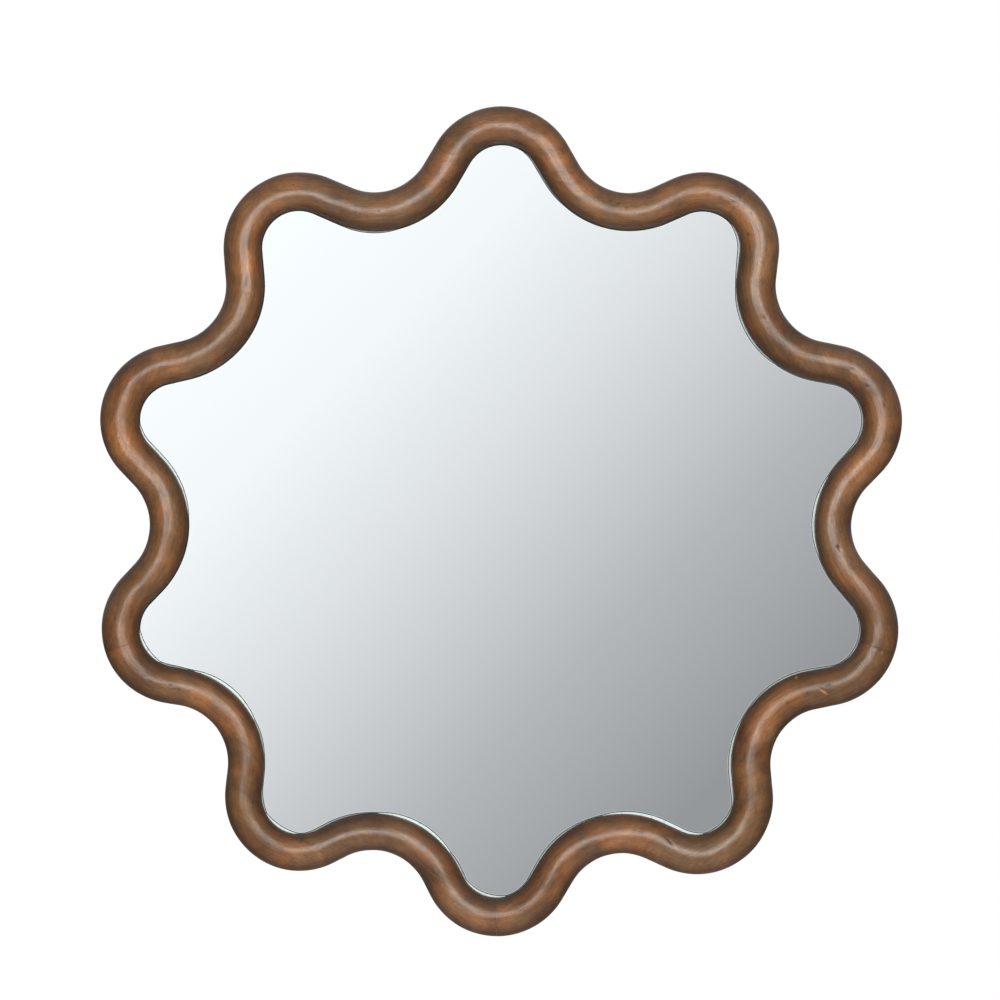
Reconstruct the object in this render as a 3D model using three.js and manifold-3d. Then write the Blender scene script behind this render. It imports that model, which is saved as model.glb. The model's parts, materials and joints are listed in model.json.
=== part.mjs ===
// A wall mirror in a wavy ring of hand-shaped hardwood: five glued segments, a silvered glass on a backing
// board, and two swinging hanger rings behind. Millimetres, +Z up. The mirror looks along -Y, +X is to its
// right as it is looked at, and the origin is the middle of the backing board's rear face.
import * as THREE from "three";
import { mergeVertices } from "three/addons/utils/BufferGeometryUtils.js";
import Module from "manifold-3d";

const wasm = await Module();
wasm.setup();

// ---------------------------------------------------------------------------------------------------------
// Driving dimensions
// ---------------------------------------------------------------------------------------------------------

// The line down the middle of the moulding: an arc over each lobe, an arc through each dip between two
// lobes, and a straight flank that touches both.
const crestReach = 395.5; // from the middle of the mirror to the line, at a lobe's crest
const crestRadius = 56.5; // of the line over a lobe
const dipRadius = 77.5; // of the line through a dip
const flankLength = 20.7; // of the straight stretch between two arcs, in an even ring

// The lobes were drawn by hand. Each one, clockwise from the top, with the dip that follows it: how far its
// crest is turned from the even pattern, in degrees, and how much further the crest and the dip reach out.
const lobes = [
  { turn: -0.2, crest: -0.5, dip: -1.5 },
  { turn: -0.6, crest: 0.5, dip: -0.5 },
  { turn: -0.8, crest: 1, dip: 0.5 },
  { turn: -0.7, crest: -0.5, dip: 0 },
  { turn: -0.7, crest: 0, dip: 0.5 },
  { turn: -0.6, crest: 0, dip: 1 },
  { turn: -0.1, crest: 0.5, dip: 2 },
  { turn: 0.4, crest: 1.5, dip: 1.5 },
  { turn: 0.7, crest: 1, dip: -0.5 },
  { turn: 0.4, crest: -1, dip: -2 },
];

const mouldingWidth = 38.5;
const mouldingDepth = 32;
const backEdgeRound = 2;
const rebateWidth = 10;
const glueLine = 0.3;

const dowelDiameter = 8;
const dowelLength = 40;
const dowelChamfer = 1;
const dowelSpread = 8; // from the middle of the moulding to each dowel
const dowelDepth = 18; // from the back of the moulding to the dowels' axes
const dowelPlay = 0.3; // clear all round a dowel, and past each of its ends

const boardThickness = 6;
const boardClearance = 0.5; // between the board's edge and the side of the rebate
const seat = 0.3; // between a piece and what it lies against

const tapeThickness = 1;
const tapeWidth = 25;
const tapePitch = 90;
const tapeCount = 6;
const tapeMargin = 30; // from the ends of the strips to the narrowest part of the opening

const glassThickness = 5;
const glassArris = 1.5;
const glassGapInDips = 1.6; // between the glass and the moulding
const glassGapInLobes = 2.8;
const glassShift = 0.8; // how far the glass lies to the left of the middle, and above it

const screwDiameter = 3.5;
const screwHeadDiameter = 7;
const screwHeadHeight = 2.2;
const screwCrownDiameter = 4.2; // of the flat on top of a round head
const boardScrewLength = 16;
const hangerScrewLength = 14;
const screwSlotDepth = 1.2;
const screwSlotWidth = 1;
const screwSlotLength = 4.2;
const screwPlay = 0.3; // clear round a screw, and past its tip

const ringWire = 3;
const ringWidth = 23; // between the middles of the ring's two sides
const ringSide = 8; // from the bar's axis to where the bow starts
const ringCorner = 3;
const strapThickness = 1.2;
const strapWidth = 14;
const strapHoleFromEnd = 7;
const strapHolePitch = 14;
const ringToScrew = 2.5; // between the hanging ring's bow and the head of the upper screw
const knucklePlay = 0.3; // between the ring's bar and the knuckle that it turns in

const bumperDiameter = 12;
const bumperHeight = 7;
const bumperRound = 1;

// Steps of the faceted curves
const crestSteps = 10;
const dipSteps = 7;
const faceSteps = 10;
const smallRoundSteps = 2;
const strapEndSteps = 4;
const holeSteps = 12;
const wireSteps = 8;
const ringCornerSteps = 3;
const ringBowSteps = 12;

// Where the sizes above meet
const halfWidth = mouldingWidth / 2;
const rebateDepth = boardThickness + seat;
const rebateEdge = rebateWidth - halfWidth;
const backMiddle = (rebateEdge + halfWidth - backEdgeRound) / 2;
const boardEdge = rebateEdge - boardClearance;
const boardScrewLine = (boardEdge - halfWidth) / 2;
const tapeFront = rebateDepth + tapeThickness;
const glassBack = tapeFront + seat;
const glassFront = glassBack + glassThickness;
const screwHoleDiameter = screwDiameter + 2 * screwPlay;
const ringDrop = ringSide + ringWidth / 2 + ringWire / 2;
const strapLength = ringDrop + ringToScrew + screwHeadDiameter / 2 + strapHolePitch + strapHoleFromEnd;

// An even ring's arcs are as far apart, from centre to centre, as their radii and the flank ask for. That
// settles how far the line reaches at the bottom of a dip.
const lobePitch = 360 / lobes.length;
const crestCentre = polar(lobePitch / 2, crestReach - crestRadius);
const centresApart = Math.hypot(crestRadius + dipRadius, flankLength);
const dipReach = crestCentre.x + Math.sqrt(centresApart ** 2 - crestCentre.y ** 2) - dipRadius;

// ---------------------------------------------------------------------------------------------------------
// Materials
// ---------------------------------------------------------------------------------------------------------

const stainedWood = new THREE.MeshStandardMaterial({ color: 0x7a5638, roughness: 0.5, metalness: 0 });
const silveredGlass = new THREE.MeshStandardMaterial({ color: 0xdfe3e6, roughness: 0.03, metalness: 1 });
const hardboard = new THREE.MeshStandardMaterial({ color: 0x9a7a54, roughness: 0.85, metalness: 0 });
const beech = new THREE.MeshStandardMaterial({ color: 0xcfae80, roughness: 0.7, metalness: 0 });
const foamTape = new THREE.MeshStandardMaterial({ color: 0xe6e4dc, roughness: 0.9, metalness: 0 });
const zincPlate = new THREE.MeshStandardMaterial({ color: 0xb9bcc0, roughness: 0.35, metalness: 1 });
const blackRubber = new THREE.MeshStandardMaterial({ color: 0x26262a, roughness: 0.8, metalness: 0 });

// ---------------------------------------------------------------------------------------------------------
// Solids
// ---------------------------------------------------------------------------------------------------------

// A closed geometry as a solid that can be cut or joined.
function solidOf(geometry) {
  const bare = geometry.clone();
  bare.deleteAttribute("normal");
  bare.deleteAttribute("uv");
  const merged = mergeVertices(bare);
  const vertProperties = new Float32Array(merged.attributes.position.array);
  const triVerts = new Uint32Array(merged.index.array);
  return new wasm.Manifold(new wasm.Mesh({ numProp: 3, vertProperties, triVerts }));
}

function geometryOf(solid) {
  const mesh = solid.getMesh();
  const indexed = new THREE.BufferGeometry();
  indexed.setAttribute("position", new THREE.BufferAttribute(mesh.vertProperties, 3));
  indexed.setIndex(new THREE.BufferAttribute(mesh.triVerts, 1));
  const geometry = indexed.toNonIndexed();
  geometry.computeVertexNormals();
  return geometry;
}

function cut(geometry, cutters) {
  const left = cutters.reduce((solid, cutter) => solid.subtract(solidOf(cutter)), solidOf(geometry));
  return geometryOf(left);
}

function join(...geometries) {
  return geometryOf(geometries.map(solidOf).reduce((whole, solid) => whole.add(solid)));
}

// Closed loops of equally many points, each joined to the next. The first and the last are capped over the
// triangles of a flat outline with the same points, unless the last loop runs on into the first.
function loft(loops, outline = null) {
  const count = loops[0].length;
  const index = [];
  const spans = outline ? loops.length - 1 : loops.length;
  for (let loop = 0; loop < spans; loop++) {
    const here = loop * count;
    const there = ((loop + 1) % loops.length) * count;
    for (let i = 0; i < count; i++) {
      const j = (i + 1) % count;
      index.push(here + i, here + j, there + j);
      index.push(here + i, there + j, there + i);
    }
  }
  if (outline) {
    const last = (loops.length - 1) * count;
    for (const [a, b, c] of THREE.ShapeUtils.triangulateShape(outline, [])) {
      index.push(a, c, b);
      index.push(last + a, last + b, last + c);
    }
  }
  const geometry = new THREE.BufferGeometry().setFromPoints(loops.flat());
  geometry.setIndex(index);
  geometry.computeVertexNormals();
  return geometry;
}

// A section carried along stations in the XZ plane. A section point's x is measured along the station's
// normal, and its y towards the front. With no ends, the sweep closes on itself.
function sweep(stations, section, closed) {
  const loops = stations.map(({ point, normal }) =>
    section.map(
      ({ x, y }) => new THREE.Vector3(point.x + x * normal.x, -y, point.y + x * normal.y),
    ),
  );
  return loft(loops, closed ? null : section);
}

// A rod or a hole along +Z from its own origin.
function rod(diameter, length) {
  const geometry = new THREE.CylinderGeometry(diameter / 2, diameter / 2, length, holeSteps);
  return geometry.rotateX(Math.PI / 2).translate(0, 0, length / 2);
}

// A turned shape from (radius, height) points that start and end on the axis, with its axis along +Z.
function turned(points, steps = holeSteps) {
  const profile = points.map(([radius, height]) => new THREE.Vector2(radius, height));
  return new THREE.LatheGeometry(profile, steps).rotateX(Math.PI / 2);
}

function polar(degrees, reach) {
  const angle = THREE.MathUtils.degToRad(degrees);
  return new THREE.Vector2(reach * Math.cos(angle), reach * Math.sin(angle));
}

function arcPoints(centre, radius, from, to, steps) {
  return Array.from({ length: steps + 1 }, (_, i) =>
    polar(from + ((to - from) * i) / steps, radius).add(centre),
  );
}

// ---------------------------------------------------------------------------------------------------------
// The ring's line
// ---------------------------------------------------------------------------------------------------------

const crestBearing = (i) => 90 - lobePitch * i + lobes[i % lobes.length].turn;
const dipBearing = (i) => (crestBearing(i) + crestBearing(i + 1)) / 2;
const crestLine = (i) => crestReach + lobes[i % lobes.length].crest;
const dipLine = (i) => dipReach + lobes[i % lobes.length].dip;

// The arcs in order, clockwise from the top crest, for a line that lies outside the ring's own by these
// offsets. A crest's centre lies inside the ring, and a dip's outside it.
function ringArcs(crestOffset, dipOffset) {
  const arcs = lobes.flatMap((_, i) => [
    {
      side: 1,
      bearing: crestBearing(i),
      centre: polar(crestBearing(i), crestLine(i) - crestRadius),
      radius: crestRadius + crestOffset,
    },
    {
      side: -1,
      bearing: dipBearing(i),
      centre: polar(dipBearing(i), dipLine(i) + dipRadius),
      radius: dipRadius - dipOffset,
    },
  ]);
  // The direction of the outward normal on the flank from each arc to the next.
  const flanks = arcs.map((arc, i) => {
    const next = arcs[(i + 1) % arcs.length];
    const across = next.centre.clone().sub(arc.centre);
    const heading = THREE.MathUtils.radToDeg(across.angle());
    const lean = THREE.MathUtils.radToDeg(Math.acos((arc.radius + next.radius) / across.length()));
    return arc.side > 0 ? heading + lean : heading - lean + 180;
  });
  const near = (angle, other) => other + THREE.MathUtils.euclideanModulo(angle - other + 180, 360) - 180;
  return arcs.map((arc, i) => {
    const before = flanks[(i + arcs.length - 1) % arcs.length];
    return { ...arc, from: near(before, arc.bearing), to: near(flanks[i], arc.bearing) };
  });
}

// The stations of one arc: points with their outward normals. A crest has one right at its top.
function arcStations({ side, bearing, centre, radius, from, to }) {
  const steps = side > 0 ? crestSteps : dipSteps;
  const half = steps / 2;
  return Array.from({ length: steps + 1 }, (_, i) => {
    const even = from + ((to - from) * i) / steps;
    const rising = from + ((bearing - from) * i) / half;
    const falling = bearing + ((to - bearing) * (i - half)) / half;
    const angle = side < 0 ? even : i < half ? rising : falling;
    return { point: polar(angle, side * radius).add(centre), normal: polar(angle, 1) };
  });
}

function ringStations(crestOffset = 0, dipOffset = crestOffset) {
  return ringArcs(crestOffset, dipOffset).flatMap(arcStations);
}

const stationsPerLobe = crestSteps + dipSteps + 2;
const crestStation = (i) => i * stationsPerLobe + crestSteps / 2;

// A point on the ring, level with a bearing's own crest or dip, and outside the line by an offset.
const atCrest = (i, offset) => polar(crestBearing(i), crestLine(i) + offset);
const atDip = (i, offset) => polar(dipBearing(i), dipLine(i) + offset);

// A plate cut to the wavy line, from the loops of its outline: [depth, crestOffset, dipOffset].
function wavyPlate(levels) {
  const outlines = levels.map(([, crest, dip]) =>
    ringStations(crest, dip)
      .map(({ point }) => point)
      .reverse(),
  );
  const loops = outlines.map((outline, i) =>
    outline.map(({ x, y }) => new THREE.Vector3(x, -levels[i][0], y)),
  );
  return loft(loops, outlines[0]);
}

// ---------------------------------------------------------------------------------------------------------
// Placing
// ---------------------------------------------------------------------------------------------------------

const part = new THREE.Group();

function add(name, geometry, material, parent = part) {
  const mesh = new THREE.Mesh(geometry, material);
  mesh.name = name;
  parent.add(mesh);
  return mesh;
}

// Where a screw or a bumper stands on the back: its own +Z points out of the back, along +Y.
function backPlace(x, y, z) {
  const turn = new THREE.Matrix4().makeRotationX(-Math.PI / 2);
  return new THREE.Matrix4().makeTranslation(x, y, z).multiply(turn);
}

function placeAt(mesh, matrix) {
  matrix.decompose(mesh.position, mesh.quaternion, mesh.scale);
}

// ---------------------------------------------------------------------------------------------------------
// Screws: the head's top is at the screw's own origin, and the shank runs down -Z
// ---------------------------------------------------------------------------------------------------------

function crossSlot() {
  const bar = new THREE.BoxGeometry(screwSlotLength, screwSlotWidth, 2 * screwSlotDepth);
  return join(bar, bar.clone().rotateZ(Math.PI / 2));
}

// A flat head sinks into its countersink, and a round head stands on what it holds.
function screwGeometry(length, flatHead) {
  const head = screwHeadDiameter / 2;
  const shank = screwDiameter / 2;
  const headPoints = flatHead
    ? [
        [head, 0],
        [shank, -screwHeadHeight],
      ]
    : [
        [screwCrownDiameter / 2, 0],
        [head, -screwHeadHeight / 2],
        [head, -screwHeadHeight],
        [shank, -screwHeadHeight],
      ];
  const points = [[0, 0], ...headPoints, [shank, -length + screwDiameter], [0, -length]];
  return cut(turned(points.reverse()), [crossSlot()]);
}

// The hole for a flat-headed screw through the board, from a little above its face.
function countersunkHole() {
  const head = screwHeadDiameter / 2 + screwPlay;
  const shank = screwHoleDiameter / 2;
  const bottom = -boardThickness - seat;
  const points = [
    [0, bottom],
    [shank, bottom],
    [shank, -screwHeadHeight - screwPlay],
    [head, -screwPlay / 2],
    [head, seat],
    [0, seat],
  ];
  return turned(points);
}

const boardScrew = screwGeometry(boardScrewLength, true);
const hangerScrew = screwGeometry(hangerScrewLength + screwHeadHeight, false);

// One screw at each dip, and one at the crest in the middle of each segment.
const segmentNames = ["top", "right", "lower_right", "lower_left", "left"];
const boardScrewPlaces = segmentNames
  .flatMap((_, i) => [
    atDip(2 * i + lobes.length - 1, boardScrewLine),
    atCrest(2 * i, boardScrewLine),
    atDip(2 * i, boardScrewLine),
  ])
  .map(({ x, y }) => backPlace(x, 0, y));

// ---------------------------------------------------------------------------------------------------------
// Hangers: one on each of the two upright flanks of the upper side lobes
// ---------------------------------------------------------------------------------------------------------

const arcsOfLine = ringArcs(0, 0);

// The middle of the flank after an arc, moved to the middle of the moulding's flat back.
function flankMiddle(i) {
  const { centre, radius, side, to } = arcsOfLine[i];
  const next = arcsOfLine[i + 1];
  const start = polar(to, side * radius).add(centre);
  const end = polar(next.from, next.side * next.radius).add(next.centre);
  return start.add(end).divideScalar(2).add(polar(to, backMiddle));
}

const rightFlank = flankMiddle(2);
const leftFlank = flankMiddle(2 * lobes.length - 3);
const hangerBarHeight = (rightFlank.y + leftFlank.y + strapLength) / 2;
const knuckleRadius = ringWire / 2 + knucklePlay + strapThickness;
const barAxis = seat + knuckleRadius; // from the back of the moulding to the ring's axis
const strapHoles = [strapLength - strapHoleFromEnd, strapLength - strapHoleFromEnd - strapHolePitch];
const strapFace = seat + strapThickness;

// The strap lies on the back with its knuckle up, and the bar's axis is at its own origin's height.
function strapGeometry() {
  const half = strapWidth / 2;
  const outline = new THREE.Shape();
  outline.moveTo(half, 0);
  outline.lineTo(-half, 0);
  outline.lineTo(-half, half - strapLength);
  outline.absarc(0, half - strapLength, half, Math.PI, 2 * Math.PI);
  const strap = new THREE.ExtrudeGeometry(outline, {
    depth: strapThickness,
    bevelEnabled: false,
    curveSegments: strapEndSteps,
  });
  strap.rotateX(Math.PI / 2).translate(0, strapFace, 0);
  const knuckle = rod(2 * knuckleRadius, strapWidth).rotateY(Math.PI / 2).translate(-half, barAxis, 0);
  const bore = rod(ringWire + 2 * knucklePlay, strapWidth + 2 * seat).rotateY(Math.PI / 2);
  bore.translate(-half - seat, barAxis, 0);
  const hole = rod(screwHoleDiameter, strapFace + seat).rotateX(-Math.PI / 2);
  const holes = strapHoles.map((drop) => hole.clone().translate(0, 0, -drop));
  return cut(join(strap, knuckle), [bore, ...holes]);
}

// The ring hangs down from its bar, which lies along X through the ring's own origin.
function ringGeometry() {
  const half = ringWidth / 2;
  const corner = half - ringCorner;
  const line = [
    ...arcPoints(new THREE.Vector2(corner, -ringCorner), ringCorner, 90, 0, ringCornerSteps),
    ...arcPoints(new THREE.Vector2(0, -ringSide), half, 0, -180, ringBowSteps),
    ...arcPoints(new THREE.Vector2(-corner, -ringCorner), ringCorner, 180, 90, ringCornerSteps),
  ];
  const stations = line.map((point, i) => {
    const before = line[(i + line.length - 1) % line.length];
    const after = line[(i + 1) % line.length];
    const along = after.clone().sub(before).normalize();
    return { point, normal: new THREE.Vector2(-along.y, along.x) };
  });
  const wire = arcPoints(new THREE.Vector2(), ringWire / 2, 0, 360, wireSteps).slice(0, wireSteps);
  return sweep(stations, wire, true);
}

// Each is named after the segment that it hangs.
const hangers = [
  { side: "left", x: leftFlank.x },
  { side: "right", x: rightFlank.x },
];

const hangerScrewHeight = strapFace + seat + screwHeadHeight;

function addHanger({ side, x }) {
  const hanger = new THREE.Group();
  hanger.position.set(x, 0, hangerBarHeight);
  part.add(hanger);
  add("hanger_plate_" + side, strapGeometry(), zincPlate, hanger);
  const swing = new THREE.Group();
  swing.position.y = barAxis;
  hanger.add(swing);
  add("hanger_ring_" + side, ringGeometry(), zincPlate, swing);
  ["lower", "upper"].forEach((end, i) => {
    const screw = add("hanger_screw_" + side + "_" + end, hangerScrew, zincPlate, hanger);
    placeAt(screw, backPlace(0, hangerScrewHeight, -strapHoles[i]));
  });
}

// ---------------------------------------------------------------------------------------------------------
// The moulding's five segments and their dowels
// ---------------------------------------------------------------------------------------------------------

// The moulding's section: x out from the ring's line, y forward from its back. A half-round face, straight
// sides, a softened outer back edge, and the rebate for the board in the inner one.
function mouldingSection() {
  const shoulder = mouldingDepth - halfWidth;
  const edge = new THREE.Vector2(halfWidth - backEdgeRound, backEdgeRound);
  return [
    new THREE.Vector2(rebateEdge, 0),
    ...arcPoints(edge, backEdgeRound, -90, 0, smallRoundSteps),
    ...arcPoints(new THREE.Vector2(0, shoulder), halfWidth, 0, 180, faceSteps),
    new THREE.Vector2(-halfWidth, rebateDepth),
    new THREE.Vector2(rebateEdge, rebateDepth),
  ];
}

// A joint stands square across the line at a crest. Its dowels lie along the line's direction there.
function jointPlace(i, offset) {
  const { x, y } = atCrest(i, offset);
  const along = polar(crestBearing(i), 1);
  const place = new THREE.Matrix4().makeBasis(
    new THREE.Vector3(along.x, 0, along.y),
    new THREE.Vector3(0, 1, 0),
    new THREE.Vector3(-along.y, 0, along.x),
  );
  return place.setPosition(x, -dowelDepth, y);
}

// Segment i has its middle at crest 2 i, and a joint at the crest on each side.
function segmentGeometry(i) {
  const stations = ringStations();
  const first = crestStation(2 * i + lobes.length - 1);
  const length = 2 * stationsPerLobe;
  const run = Array.from({ length: length + 1 }, (_, k) => stations[(first + k) % stations.length]);
  // Each end stands back from the joint by half the glue line.
  const trimmed = run.map(({ point, normal }, k) => {
    const inward = k === 0 ? 1 : k === length ? -1 : 0;
    const along = new THREE.Vector2(normal.y, -normal.x).multiplyScalar((inward * glueLine) / 2);
    return { point: point.clone().add(along), normal };
  });
  const holeLength = dowelLength + 2 * dowelPlay;
  const hole = rod(dowelDiameter + 2 * dowelPlay, holeLength).translate(0, 0, -holeLength / 2);
  const dowelHoles = [2 * i - 1, 2 * i + 1].flatMap((crest) =>
    [-dowelSpread, dowelSpread].map((offset) =>
      hole.clone().applyMatrix4(jointPlace(crest + lobes.length, offset)),
    ),
  );
  const pilot = rod(screwHoleDiameter, boardScrewLength + screwPlay + seat);
  pilot.translate(0, 0, -boardScrewLength - screwPlay);
  const pilots = boardScrewPlaces.slice(3 * i, 3 * i + 3).map((place) => pilot.clone().applyMatrix4(place));
  const deep = rod(screwHoleDiameter, hangerScrewLength + screwPlay);
  deep.translate(0, 0, -hangerScrewLength - screwPlay + strapFace);
  const hangerPilots = hangers
    .filter(({ side }) => side === segmentNames[i])
    .flatMap(({ x }) =>
      strapHoles.map((drop) => deep.clone().applyMatrix4(backPlace(x, 0, hangerBarHeight - drop))),
    );
  return cut(sweep(trimmed, mouldingSection(), false), [...dowelHoles, ...pilots, ...hangerPilots]);
}

function dowelGeometry() {
  const radius = dowelDiameter / 2;
  const half = dowelLength / 2;
  return turned([
    [0, -half],
    [radius - dowelChamfer, -half],
    [radius, -half + dowelChamfer],
    [radius, half - dowelChamfer],
    [radius - dowelChamfer, half],
    [0, half],
  ]);
}

segmentNames.forEach((name, i) => add("frame_" + name, segmentGeometry(i), stainedWood));

// The joints stand at the odd crests.
const jointNames = ["upper_right", "right", "bottom", "left", "upper_left"];
jointNames.forEach((name, i) => {
  const rows = { outer: dowelSpread, inner: -dowelSpread };
  for (const [row, offset] of Object.entries(rows)) {
    const dowel = add("dowel_" + name + "_" + row, dowelGeometry(), beech);
    placeAt(dowel, jointPlace(2 * i + 1, offset));
  }
});

// ---------------------------------------------------------------------------------------------------------
// The board, the tape and the glass
// ---------------------------------------------------------------------------------------------------------

const board = wavyPlate([
  [0, boardEdge, boardEdge],
  [boardThickness, boardEdge, boardEdge],
]);
const boardHoles = boardScrewPlaces.map((place) => countersunkHole().applyMatrix4(place));
add("backing_board", cut(board, boardHoles), hardboard);

boardScrewPlaces.forEach((place, i) => {
  const screw = add("board_screw_" + String(i + 1).padStart(2, "0"), boardScrew, zincPlate);
  placeAt(screw, place);
});

// The strips end on a circle inside the narrowest part of the opening.
const tapeReach = dipReach - halfWidth - tapeMargin;
for (let i = 0; i < tapeCount; i++) {
  const x = (i - (tapeCount - 1) / 2) * tapePitch;
  const length = 2 * Math.sqrt(tapeReach ** 2 - x ** 2);
  const strip = new THREE.BoxGeometry(tapeWidth, tapeThickness, length);
  const tape = add("bonding_tape_" + (i + 1), strip, foamTape);
  tape.position.set(x, -(rebateDepth + tapeThickness / 2), 0);
}

const glassInLobes = -halfWidth - glassGapInLobes;
const glassInDips = -halfWidth - glassGapInDips;
const glass = wavyPlate([
  [glassBack, glassInLobes, glassInDips],
  [glassFront - glassArris, glassInLobes, glassInDips],
  [glassFront, glassInLobes - glassArris, glassInDips - glassArris],
]);
add("mirror_glass", glass, silveredGlass).position.set(-glassShift, 0, glassShift);

// ---------------------------------------------------------------------------------------------------------
// Hangers and bumpers on the back
// ---------------------------------------------------------------------------------------------------------

hangers.forEach(addHanger);

function bumperGeometry() {
  const radius = bumperDiameter / 2;
  return turned([
    [0, 0],
    [radius, 0],
    [radius, bumperHeight - bumperRound],
    [radius - bumperRound, bumperHeight],
    [0, bumperHeight],
  ]);
}

// One at the middle of each segment but the top one.
const bumperNames = ["upper_right", "lower_right", "lower_left", "upper_left"];
bumperNames.forEach((name, i) => {
  const { x, y } = atCrest(2 * (i + 1), backMiddle);
  placeAt(add("wall_bumper_" + name, bumperGeometry(), blackRubber), backPlace(x, seat, y));
});

export default part;
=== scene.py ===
"""A wall mirror in a wavy ring of hand-shaped hardwood, dressed for rendering.

The packed solids give each piece its place. Metres, +Z up, and the mirror looks along -Y.
"""

import json
import math
from collections import namedtuple

import bmesh
import bpy
import numpy as np
from bpy.props import FloatProperty, FloatVectorProperty, PointerProperty
from mathutils import Matrix, Vector

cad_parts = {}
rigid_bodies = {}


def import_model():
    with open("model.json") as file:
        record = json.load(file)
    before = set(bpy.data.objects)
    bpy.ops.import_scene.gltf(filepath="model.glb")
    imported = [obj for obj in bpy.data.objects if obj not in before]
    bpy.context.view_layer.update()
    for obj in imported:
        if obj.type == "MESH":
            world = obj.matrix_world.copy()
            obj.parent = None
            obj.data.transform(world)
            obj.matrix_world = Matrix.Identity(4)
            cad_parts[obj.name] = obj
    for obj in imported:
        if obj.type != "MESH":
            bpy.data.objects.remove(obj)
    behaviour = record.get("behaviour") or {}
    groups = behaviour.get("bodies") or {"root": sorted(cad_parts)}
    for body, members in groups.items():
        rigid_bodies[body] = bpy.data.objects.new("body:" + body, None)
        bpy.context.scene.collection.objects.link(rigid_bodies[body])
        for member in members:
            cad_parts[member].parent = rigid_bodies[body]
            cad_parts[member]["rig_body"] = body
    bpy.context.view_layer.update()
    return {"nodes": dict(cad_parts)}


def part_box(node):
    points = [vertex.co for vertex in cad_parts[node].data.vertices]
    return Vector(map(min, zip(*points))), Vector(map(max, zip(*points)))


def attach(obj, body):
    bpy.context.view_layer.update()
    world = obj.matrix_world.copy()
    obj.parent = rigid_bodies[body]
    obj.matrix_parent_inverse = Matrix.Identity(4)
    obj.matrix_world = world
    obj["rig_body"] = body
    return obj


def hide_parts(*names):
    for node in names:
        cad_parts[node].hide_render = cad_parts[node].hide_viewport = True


bl_info = {
    "name": "Wavy Wall Mirror",
    "version": (1, 0, 0),
    "blender": (4, 5, 0),
    "location": "View3D > Sidebar > Wavy Mirror",
    "description": "Builds the looks of a wall mirror in a wavy wooden ring around its packed solids",
    "category": "Object",
}

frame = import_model()
MM = 0.001

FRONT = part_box("frame_top")[0].y
GLASS_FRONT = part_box("mirror_glass")[0].y
GLASS_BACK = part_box("mirror_glass")[1].y
BOARD_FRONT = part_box("backing_board")[0].y

# ---- What the maker's hand gave each lobe ----

# Clockwise from the top, each lobe with the dip that follows it. In degrees, how far its crest is turned
# from the even pattern. In millimetres, how much further its crest and its dip reach out, and how much
# wider than even the moulding is outside and inside its line, at the crest and at the dip.
Lobe = namedtuple("Lobe", "turn crest dip crest_out crest_in dip_out dip_in")
LOBES = (
    Lobe(-0.2, -0.5, -1.5, 0.5, -1.0, 0.0, -1.5),
    Lobe(-0.6, 0.5, -0.5, 0.5, -0.5, 0.5, 0.5),
    Lobe(-0.8, 1.0, 0.5, 1.0, -1.0, 0.0, -2.0),
    Lobe(-0.7, -0.5, 0.0, 1.5, -2.5, 0.5, 0.0),
    Lobe(-0.7, 0.0, 0.5, 1.0, 0.0, 0.0, 0.5),
    Lobe(-0.6, 0.0, 1.0, 0.5, -0.5, -1.5, -0.5),
    Lobe(-0.1, 0.5, 2.0, 0.0, -2.0, -1.0, -2.0),
    Lobe(0.4, 1.5, 1.5, 0.0, -1.0, -1.0, 1.0),
    Lobe(0.7, 1.0, -0.5, 0.0, 0.5, 0.0, -0.5),
    Lobe(0.4, -1.0, -2.0, 1.0, -2.0, 0.5, 0.0),
)

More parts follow.
